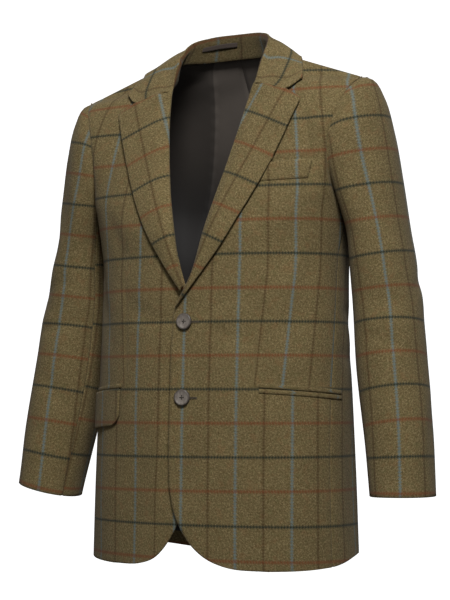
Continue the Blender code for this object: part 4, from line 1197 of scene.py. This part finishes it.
collar_grid, collar_flat = collar_panel()
collar = dressed(
    "collar", collar_grid, collar_flat, "back_left", finishes=(TWEED,), wall=COLLAR_WALL, held="folded"
)
# The stand's faces take a darker copy of the tweed: painted shade for the inside of the neck.
collar.data.materials.append(tweed_finish("tweed_stand_painted_shade", STAND_PAINTED_SHADE))
columns = collar_grid.shape[1]
stand_along = run_along(collar_grid[STAND_ROWS], 0)
stand_along = stand_along - stand_along[-1] / 2 + STAND_BROWN + CHECK_WIDTH / 2
collar_places = collar.data.uv_layers[FLAT_MAP].data
for face in collar.data.polygons[:STAND_ROWS * (columns - 1)]:
    face.material_index = 1
    for corner in face.loop_indices:
        collar_places[corner].uv.x = stand_along[collar.data.loops[corner].vertex_index % columns]

# Hanger loop: a length of narrow dark brown tape, sewn at both ends inside the stand of the collar.
TAPE_WALL = 0.0014
TAPE_RIB = 0.0009
LOOP_MIDDLE = -0.70
LOOP_LENGTH = 0.056
LOOP_WIDTH = 0.0055
LOOP_MESH = (6, 41)
LOOP_SHARE = 0.62
LOOP_SLACK = 0.0020
LOOP_CLEAR = 0.0020


def tape_finish():
    """Woven tape with fine ribs across it."""
    material, tree, shader, place = finish("tape", roughness=0.75, sheen=0.10, specular=0.25)
    ribs = wave(tree, width_and_length(tree, place)[0], TAPE_RIB)
    tone = calc(tree, "MULTIPLY_ADD", ribs, 0.22, grain(tree, place, 1500.0))
    colour = mixed(tree, tone, (0.020, 0.014, 0.011), (0.056, 0.040, 0.030))
    tree.links.new(colour, shader.inputs["Base Color"])
    bumped(tree, shader, ribs, distance=0.0002, strength=0.5)
    return material


def loop_panel():
    """Face of the loop, with a little slack in its middle."""
    reach = LOOP_LENGTH / 2 / COLLAR_FOLD["back"][0]
    half = LOOP_WIDTH / 2 / (COLLAR_FOLD["centre_back"][2] - NECK_SEAM["centre_back"][2])
    rows = []
    for share in np.linspace(LOOP_SHARE - half, LOOP_SHARE + half, LOOP_MESH[0]):
        row = []
        for part in np.linspace(-1, 1, LOOP_MESH[1]):
            station = LOOP_MIDDLE + reach * part
            section = collar_section(abs(station))
            point = section[0] + (section[2] - section[0]) * share
            out = unit((section[-1] - section[3]) * np.array([1.0, 1.0, 0.0]))
            side = np.array([math.copysign(1, station), 1.0, 1.0])
            slack = LOOP_SLACK * (1 - part**2) ** 2
            row.append((point - out * (TAPE_WALL + LOOP_CLEAR + slack)) * side)
        rows.append(row)
    return np.array(rows)


loop_grid = loop_panel()
loop_flat = np.stack([flat_widths(loop_grid, 0.0), loop_grid[..., 2]], axis=-1)
dressed("hanger_loop", loop_grid, loop_flat, "collar", "tape", (tape_finish(),), TAPE_WALL, "hung")

# Breast pocket: a welt of tweed with its lines matched to the front, sewn down at its foot and ends.
TRIM_WALL = 0.0020
TRIM_RISE = 0.0030
WELT_INNER = (0.0760, -0.1800)
WELT_OUTER = (0.1600, -0.1770)
WELT_WIDTH = 0.0250
WELT_MESH = (9, 30)
WELT_SLANT = 0.0045
WELT_FOOT = 0.0017
WELT_SHIFT = 0.0012


def welt_panel():
    """Face of the welt on the left front, with the front's own flat places."""
    inner, outer = np.array(WELT_INNER), np.array(WELT_OUTER)
    grid = []
    flat = []
    for rise in np.linspace(0, 1, WELT_MESH[0]):
        points = []
        places = []
        for share in np.linspace(0, 1, WELT_MESH[1]):
            spread, height = inner + (outer - inner) * share
            found = left_surface.at(spread + WELT_SLANT * rise * share, height + WELT_WIDTH * rise)
            points.append(found[0] + found[1] * (WELT_FOOT + (TRIM_RISE - WELT_FOOT) * rise))
            places.append(found[2] + np.array([WELT_SHIFT, 0.0]))
        grid.append(points)
        flat.append(places)
    return np.array(grid), np.array(flat)


welt_grid, welt_flat = welt_panel()
welt_grid = seam_pressed(welt_grid, ("right", "bottom"), depth=0.0006, reach=0.0025)
dressed("breast_welt", welt_grid, welt_flat, "front_left", finishes=(TWEED,), wall=TRIM_WALL, held="laid")

# Hip pockets: slits bound with narrow jets of tweed. The right one has its flap out, with rounded corners;
# the left flap is tucked in, so only its two jets show.
POCKET_ANGLES = (32.5, 84.0)
POCKET_PROBES = 36
POCKET_COLUMNS = 49
POCKET_HEIGHTS = (-0.4620, -0.4710)
JET_WIDTH = 0.0064
JET_RISE = 0.0010
JET_WALL = 0.0010
JET_ROLL = 0.0005
JET_CHECK = 0.0200
SLIT = 0.0016
FLAP_LENGTH = 0.0500
FLAP_ROWS = 26
FLAP_CORNER = 0.0180
FLAP_RISE = 0.0042


def pocket_point(angle, drop, rise):
    """Point at an angle round the body, a distance under the pocket's slit and off the cloth."""
    share = (angle - POCKET_ANGLES[0]) / (POCKET_ANGLES[1] - POCKET_ANGLES[0])
    height = POCKET_HEIGHTS[0] + (POCKET_HEIGHTS[1] - POCKET_HEIGHTS[0]) * share - drop
    point = body_point(height, angle)
    along = body_point(height, angle + 0.5) - body_point(height, angle - 0.5)
    upward = body_point(height + 0.002, angle) - body_point(height - 0.002, angle)
    return point + unit(np.cross(along, upward)) * rise


def pocket_strip(low, high, rise, corner=0.0, rows=6, bulge=0.0):
    """Strip along the hip pocket between two distances under its slit, with rounded lower corners."""
    first, last = POCKET_ANGLES
    points = [pocket_point(angle, 0.0, 0.0) for angle in np.linspace(first, last, POCKET_PROBES)]
    length = np.linalg.norm(np.diff(points, axis=0), axis=1).sum()
    grid = []
    for f in np.linspace(0, 1, rows):
        drop = low + (high - low) * f
        into = max(0.0, drop - (low - corner)) if corner else 0.0
        cut = (corner - math.sqrt(max(corner**2 - into**2, 0.0))) / length * (last - first)
        up = rise + bulge * math.sin(math.pi * f)
        angles = np.linspace(first + cut, last - cut, POCKET_COLUMNS)
        grid.append([pocket_point(angle, drop, up) for angle in angles])
    return np.array(grid)


def pocket_flat(grid):
    """Places of a strip on the flat front under it."""
    places = np.array([[left_surface.at(point[0], point[2])[2] for point in row] for row in grid])
    places[..., 0] = places[:, :1, 0] + flat_widths(grid, 0.0)
    return places


jet_upper = pocket_strip(-SLIT / 2, -JET_WIDTH, JET_RISE, bulge=JET_ROLL)
jet_lower = pocket_strip(JET_WIDTH, SLIT / 2, JET_RISE, bulge=JET_ROLL)
plain_part = np.array([0.0, JET_CHECK])
upper_flat = pocket_flat(jet_upper) + plain_part
jet = {"finishes": (TWEED,), "wall": JET_WALL, "held": "folded"}
dressed("hip_jet_left_upper", jet_upper, upper_flat, "front_left", **jet)
dressed("hip_jet_left_lower", jet_lower, pocket_flat(jet_lower) + plain_part, "front_left", **jet)
dressed("hip_jet_right_upper", *right_hand(jet_upper, upper_flat), "front_right", **jet)
flap = pocket_strip(FLAP_LENGTH, SLIT / 2, FLAP_RISE, FLAP_CORNER, rows=FLAP_ROWS)
flap, flap_flat = right_hand(flap, pocket_flat(flap))
dressed("hip_flap_right", flap, flap_flat, "front_right", finishes=(TWEED,), held="hung")

# Front buttons: two four-hole buttons of grey-brown horn, turned with a rim and a dished face.
# Each is sewn on through the holes with a cross of dark thread, as the photographed ones are.
BUTTON_HEIGHTS = {"button_upper": -0.370, "button_lower": -0.4745}
BUTTON_RADIUS = 0.0115
BUTTON_STEPS = 72
BUTTON_POINTS = 40
FROM_CENTRE = "from_centre"
# Section of a button: distance in from its edge and height above its back
BUTTON_SECTION = {
    "middle": (0.0115, 0.0030),
    "dish": (0.0063, 0.0031),
    "slope": (0.0034, 0.0037),
    "rim": (0.0018, 0.0042),
    "shoulder": (0.0005, 0.0036),
    "edge": (0.0000, 0.0021),
    "under_edge": (0.0005, 0.0006),
    "back": (0.0018, 0.0000),
    "back_middle": (0.0115, 0.0000),
}
BUTTON_HOLE = 0.0010
BUTTON_HOLE_SPACING = 0.0024
BUTTON_SEAT = 0.0004
CROSS_STRANDS = (-0.00034, 0.0, 0.00034)
CROSS_RADIUS = 0.00026
CROSS_FOOT = 0.0023
CROSS_RISE = 0.0009
CROSS_OVER = 0.0003
CROSS_POINTS = 13


def horn_finish():
    """Horn: streaked grey brown, satin polished, with a few paler flecks, and darkened towards the rim as
    painted shade.
    """
    material, tree, shader, _ = finish("horn", roughness=0.38, sheen=0.0, specular=0.45)
    place = tree.nodes.new("ShaderNodeTexCoord").outputs["Object"]
    stretched = {"Vector": place, "Scale": (1.0, 1.0, 0.35), "Rotation": (0.0, 0.5, 0.0)}
    streaks = grain(tree, wired(tree, "ShaderNodeMapping", stretched).outputs["Vector"], 420.0, detail=3.0)
    colour = mixed(tree, between(tree, streaks, 0.30, 0.70), (0.130, 0.108, 0.090), (0.225, 0.197, 0.170))
    # Painted shade: the colour is multiplied darker towards the button's rim.
    from_centre = wired(tree, "ShaderNodeAttribute", {}, attribute_name=FROM_CENTRE)
    outer = between(tree, from_centre.outputs["Fac"], 0.66, 1.0)
    colour = mixed(tree, outer, colour, (0.34, 0.32, 0.31), "MULTIPLY")
    tree.links.new(colour, shader.inputs["Base Color"])
    bumped(tree, shader, streaks, distance=0.0002, strength=0.15)
    return material


def thread_finish(name, dark, light):
    """Twisted sewing thread."""
    material, tree, shader, _ = finish(name, roughness=0.7, sheen=0.1, specular=0.25)
    place = tree.nodes.new("ShaderNodeTexCoord").outputs["Object"]
    tree.links.new(mixed(tree, grain(tree, place, 2600.0), dark, light), shader.inputs["Base Color"])
    return material


def plain_mesh(piece):
    """Mesh of an object with its modifiers worked out."""
    graph = bpy.context.evaluated_depsgraph_get()
    return bpy.data.meshes.new_from_object(piece.evaluated_get(graph))


def turned_button():
    """Button about the origin, its face up +Z, with four holes bored through it."""
    profile = [(BUTTON_RADIUS - inward, height) for inward, height in BUTTON_SECTION.values()]
    knots = run_along(profile, 0)
    section = [smooth(knots, profile, place) for place in np.linspace(0, knots[-1], BUTTON_POINTS)]
    mesh = bpy.data.meshes.new("button")
    edges = [(k, k + 1) for k in range(BUTTON_POINTS - 1)]
    mesh.from_pydata([(max(x, 0.0), 0.0, z) for x, z in section], edges, [])
    button = bpy.data.objects.new("button_blank", mesh)
    bpy.context.scene.collection.objects.link(button)
    screw = button.modifiers.new("turned", "SCREW")
    screw.steps = BUTTON_STEPS
    screw.render_steps = BUTTON_STEPS
    screw.use_merge_vertices = True
    screw.merge_threshold = 0.00003
    drills = []
    for k in range(4):
        bpy.ops.mesh.primitive_cylinder_add(vertices=20, radius=BUTTON_HOLE, depth=0.02)
        drill = bpy.context.object
        turn = math.radians(90 * k)
        drill.location = (BUTTON_HOLE_SPACING * math.cos(turn), BUTTON_HOLE_SPACING * math.sin(turn), 0.0)
        bore = button.modifiers.new("hole", "BOOLEAN")
        bore.operation = "DIFFERENCE"
        bore.object = drill
        drills.append(drill)
    mesh = plain_mesh(button)
    for item in (button, *drills):
        bpy.data.objects.remove(item)
    distance = mesh.attributes.new(FROM_CENTRE, "FLOAT", "POINT")
    for vertex, item in zip(mesh.vertices, distance.data):
        item.value = math.hypot(vertex.co.x, vertex.co.y) / BUTTON_RADIUS
    mesh.shade_smooth()
    mesh.set_sharp_from_angle(angle=math.radians(40))
    return mesh


def sewing_tree(name, numbers, built):
    """Tree that sews along paths: named numbers go in, what is built comes out in its finish."""
    tree = bpy.data.node_groups.new(name, "GeometryNodeTree")
    socket = tree.interface.new_socket
    socket("Paths", in_out="INPUT", socket_type="NodeSocketGeometry")
    for number, value in numbers.items():
        socket(number, in_out="INPUT", socket_type="NodeSocketFloat").default_value = value
    socket("Finish", in_out="INPUT", socket_type="NodeSocketMaterial")
    socket("Sewing", in_out="OUTPUT", socket_type="NodeSocketGeometry")
    given = tree.nodes.new("NodeGroupInput").outputs
    curve = wired(tree, "GeometryNodeMeshToCurve", {"Mesh": given["Paths"]}).outputs["Curve"]
    soft = wired(tree, "GeometryNodeSetShadeSmooth", {"Geometry": built(tree, given, curve)})
    whole = wired(tree, "GeometryNodeRealizeInstances", {"Geometry": soft.outputs[0]})
    in_finish = {"Geometry": whole.outputs[0], "Material": given["Finish"]}
    wired(tree, "NodeGroupOutput", {"Sewing": wired(tree, "GeometryNodeSetMaterial", in_finish).outputs[0]})
    return tree


def laid_thread(tree, given, curve):
    """Round cord swept along each path."""
    cord = wired(tree, "GeometryNodeCurvePrimitiveCircle", {"Resolution": 8, "Radius": given["Radius"]})
    swept = {"Curve": curve, "Profile Curve": cord.outputs["Curve"], "Fill Caps": True}
    return wired(tree, "GeometryNodeCurveToMesh", swept).outputs["Mesh"]


def sewn(name, paths, tree, settings, slot):
    """Sewing along some paths, worked out by a tree and kept as a plain mesh."""
    points = []
    edges = []
    for path in paths:
        edges += [(len(points) + k, len(points) + k + 1) for k in range(len(path) - 1)]
        points += [tuple(map(float, point)) for point in path]
    mesh = bpy.data.meshes.new(name)
    mesh.from_pydata(points, edges, [])
    pattern = bpy.data.objects.new(name + "_paths", mesh)
    bpy.context.scene.collection.objects.link(pattern)
    modifier = pattern.modifiers.new("sewing", "NODES")
    modifier.node_group = tree
    keys = {item.name: item.identifier for item in tree.interface.items_tree if item.in_out == "INPUT"}
    for number, value in settings.items():
        modifier[keys[number]] = value
    mesh = plain_mesh(pattern)
    bpy.data.objects.remove(pattern)
    placed_piece(name, mesh, slot)


HORN = horn_finish()
DARK_THREAD = thread_finish("dark_thread", (0.020, 0.016, 0.012), (0.060, 0.048, 0.036))
LAID_THREAD = sewing_tree("laid_thread", {"Radius": CROSS_RADIUS}, laid_thread)
button_blank = turned_button()
for name, height in BUTTON_HEIGHTS.items():
    point, normal, _ = left_surface.at(0.0, height)
    turn = Vector(normal).to_track_quat("Z", "Y").to_matrix().to_4x4()
    seat = Matrix.Translation(Vector(point + normal * BUTTON_SEAT)) @ turn
    mesh = button_blank.copy()
    mesh.transform(seat)
    mesh.materials.clear()
    mesh.materials.append(HORN)
    placed_piece("horn_" + name, mesh, "horn", name)
    paths = []
    for k in range(2):
        for strand in CROSS_STRANDS:
            path = []
            for share in np.linspace(-1, 1, CROSS_POINTS):
                away = share * BUTTON_HOLE_SPACING
                rise = CROSS_FOOT + CROSS_RISE * (1 - share**4) + CROSS_OVER * k * (1 - share**2)
                flat_place = (away, strand, rise) if k else (strand, away, rise)
                path.append(seat @ Vector(flat_place))
            paths.append(path)
    sewn("thread_" + name, paths, LAID_THREAD, {"Radius": CROSS_RADIUS, "Finish": DARK_THREAD}, "tape")

# Sewing: buttonholes worked by hand on the left front, and a fine row of pick stitches along the edges of
# lapels, fronts, welt and flap. The thread is close to the tweed in colour.
HOLE_LENGTH = (0.0040, 0.0215)
HOLE_HALF_WIDTH = 0.0011
HOLE_DROP = 0.0006
HOLE_POINTS = 24
HOLE_RISES = {"lips": 0.0003, "slit": 0.0002}
HOLE_RADII = {"lips": 0.00055, "slit": 0.00065}
STITCH = {"Pitch": 0.0055, "Length": 0.0018, "Radius": 0.00022, "Seed": 7.0}
STITCH_UNEVEN = (0.82, 1.12)
STITCH_RISE = 0.0001
TWEED_THREAD = thread_finish("tweed_thread", (0.055, 0.042, 0.020), (0.130, 0.100, 0.052))


def pick_stitches(tree, given, curve):
    """Stitches of uneven length, set one after another along each path."""
    spacing = {"Curve": curve, "Length": given["Pitch"]}
    spaced = wired(tree, "GeometryNodeResampleCurve", spacing, mode="LENGTH")
    stitch = wired(tree, "GeometryNodeMeshIcoSphere", {"Radius": 1.0, "Subdivisions": 2})
    tangent = wired(tree, "GeometryNodeInputTangent", {}).outputs["Tangent"]
    turned = wired(tree, "FunctionNodeAlignRotationToVector", {"Vector": tangent}, axis="X")
    seed = wired(tree, "FunctionNodeFloatToInt", {0: given["Seed"]}).outputs[0]
    chance = {2: STITCH_UNEVEN[0], 3: STITCH_UNEVEN[1], "Seed": seed}
    uneven = wired(tree, "FunctionNodeRandomValue", chance, data_type="FLOAT").outputs[1]
    half_length = calc(tree, "MULTIPLY", calc(tree, "MULTIPLY", given["Length"], 0.5), uneven)
    size = {"X": half_length, "Y": given["Radius"], "Z": given["Radius"]}
    set_out = {
        "Points": spaced.outputs["Curve"],
        "Instance": stitch.outputs["Mesh"],
        "Rotation": turned.outputs["Rotation"],
        "Scale": wired(tree, "ShaderNodeCombineXYZ", size).outputs["Vector"],
    }
    return wired(tree, "GeometryNodeInstanceOnPoints", set_out).outputs["Instances"]


def just_above(grid):
    """Posed panel lifted just above the cloth."""
    posed = tilted(grid)
    return posed + normals_of(posed) * STITCH_RISE


def across_front(height, rise):
    """Path of a buttonhole on the left front."""
    found = [left_surface.at(place, height) for place in np.linspace(*HOLE_LENGTH, HOLE_POINTS)]
    return [point + normal * rise for point, normal, _ in found]


STITCHES = sewing_tree("stitches_along", STITCH, pick_stitches)
edge_paths = {
    "stitches_lapel_left": just_above(lapel_left)[:, -3],
    "stitches_lapel_right": just_above(lapel_right)[:, 2],
    "stitches_front_left": just_above(left)[: int(0.55 * len(left)), 2],
    "stitches_flap_right": just_above(flap)[2],
    "stitches_welt": just_above(welt_grid)[:, -2],
}
for name, path in edge_paths.items():
    sewn(name, [path], STITCHES, {**STITCH, "Finish": TWEED_THREAD}, "tweed")
for name, height in BUTTON_HEIGHTS.items():
    hole = name.replace("button", "buttonhole")
    middle = height - HOLE_DROP
    lips = [across_front(middle + HOLE_HALF_WIDTH * side, HOLE_RISES["lips"]) for side in (-1, 1)]
    # The slit is a dark cord laid along the buttonhole: painted shade of its opening.
    slit = [across_front(middle, HOLE_RISES["slit"])]
    sewn(hole + "_lips", lips, LAID_THREAD, {"Radius": HOLE_RADII["lips"], "Finish": TWEED_THREAD}, "tweed")
    sewn(hole + "_slit_painted_shade", slit, LAID_THREAD, {"Radius": HOLE_RADII["slit"], "Finish": DARK_THREAD}, "tape")

# Studio: a pale floor that sweeps up into a backdrop all round, soft light from lamps and from the room,
# and a camera at chest height, a little to the wearer's left of the front.
SWEEP = {"radius": 6.0, "floor": -1.30, "wall": 5.0, "curve": 1.5, "segments": 96, "bend_steps": 10}
CAMERA_AZIMUTH = 25.3
CAMERA_DISTANCE = 3.05
CAMERA_HEIGHT = -0.470
CAMERA_TILT = 2.53
CAMERA_SCALE = 700.0
FRAME_HEIGHT = 600
SENSOR = 36.0
ROOM_LIGHT = 0.15
LAMPS_AIM = -0.35
# Lamps: azimuth from the front towards the wearer's left, height, distance, size, watts
LAMPS = {
    "key_lamp": (29, 1.8, 2.3, 0.9, 100),
    "fill_lamp": (-50, 0.9, 3.4, 1.6, 3),
    "rear_lamp": (200, 1.2, 3.4, 2.4, 55),
}


def studio_sweep():
    """Floor, round bend and wall of the backdrop, turned about the object."""
    curve = SWEEP["curve"]
    profile = [(0.0, 0.0), (SWEEP["radius"] - curve, 0.0)]
    for k in range(1, SWEEP["bend_steps"] + 1):
        turn = math.radians(90 * k / SWEEP["bend_steps"])
        profile.append((SWEEP["radius"] - curve + curve * math.sin(turn), curve * (1 - math.cos(turn))))
    profile.append((SWEEP["radius"], SWEEP["wall"]))
    turns = [math.tau * k / SWEEP["segments"] for k in range(SWEEP["segments"])]
    points = [(0.0, 0.0, SWEEP["floor"])]
    for radius, rise in profile[1:]:
        points += [(radius * math.cos(a), radius * math.sin(a), SWEEP["floor"] + rise) for a in turns]
    count = SWEEP["segments"]
    faces = [(0, 1 + k, 1 + (k + 1) % count) for k in range(count)]
    for ring in range(len(profile) - 2):
        low = 1 + ring * count
        for k in range(count):
            after = (k + 1) % count
            faces.append((low + k, low + count + k, low + count + after, low + after))
    mesh = bpy.data.meshes.new("studio_sweep")
    mesh.from_pydata(points, [], faces)
    mesh.shade_smooth()
    material = bpy.data.materials.new("studio_white")
    material.use_nodes = True
    shader = material.node_tree.nodes["Principled BSDF"]
    shader.inputs["Base Color"].default_value = (0.93, 0.93, 0.93, 1.0)
    shader.inputs["Roughness"].default_value = 1.0
    shader.inputs["Emission Color"].default_value = (1.0, 1.0, 1.0, 1.0)
    shader.inputs["Emission Strength"].default_value = 0.95
    mesh.materials.append(material)
    sweep = bpy.data.objects.new("studio_sweep", mesh)
    sweep.visible_diffuse = False
    sweep.visible_glossy = False
    bpy.context.scene.collection.objects.link(sweep)


def aimed(thing, place, target):
    """Object turned to look at a target."""
    thing.location = place
    thing.rotation_euler = (Vector(target) - Vector(place)).to_track_quat("-Z", "Y").to_euler()
    bpy.context.scene.collection.objects.link(thing)


def round_the_front(azimuth, distance, height):
    """Place at an azimuth from the front, towards the wearer's left."""
    turn = math.radians(azimuth)
    return (distance * math.sin(turn), -distance * math.cos(turn), height)


studio_sweep()
for name, (azimuth, height, distance, size, watts) in LAMPS.items():
    lamp = bpy.data.lights.new(name, "AREA")
    lamp.size = size
    lamp.energy = watts
    aimed(bpy.data.objects.new(name, lamp), round_the_front(azimuth, distance, height), (0, 0, LAMPS_AIM))
room = bpy.data.worlds.new("studio_room")
room.use_nodes = True
room.node_tree.nodes["Background"].inputs["Color"].default_value = (1.0, 1.0, 1.0, 1.0)
room.node_tree.nodes["Background"].inputs["Strength"].default_value = ROOM_LIGHT
bpy.context.scene.world = room
bpy.context.scene.view_settings.view_transform = "Standard"
camera = bpy.data.cameras.new("camera")
camera.sensor_width = SENSOR
camera.lens = CAMERA_SCALE * CAMERA_DISTANCE / FRAME_HEIGHT * SENSOR
camera_object = bpy.data.objects.new("camera", camera)
camera_place = round_the_front(CAMERA_AZIMUTH, CAMERA_DISTANCE, CAMERA_HEIGHT)
target_height = CAMERA_HEIGHT + CAMERA_DISTANCE * math.tan(math.radians(CAMERA_TILT))
aimed(camera_object, camera_place, (0, 0, target_height))
bpy.context.scene.camera = camera_object
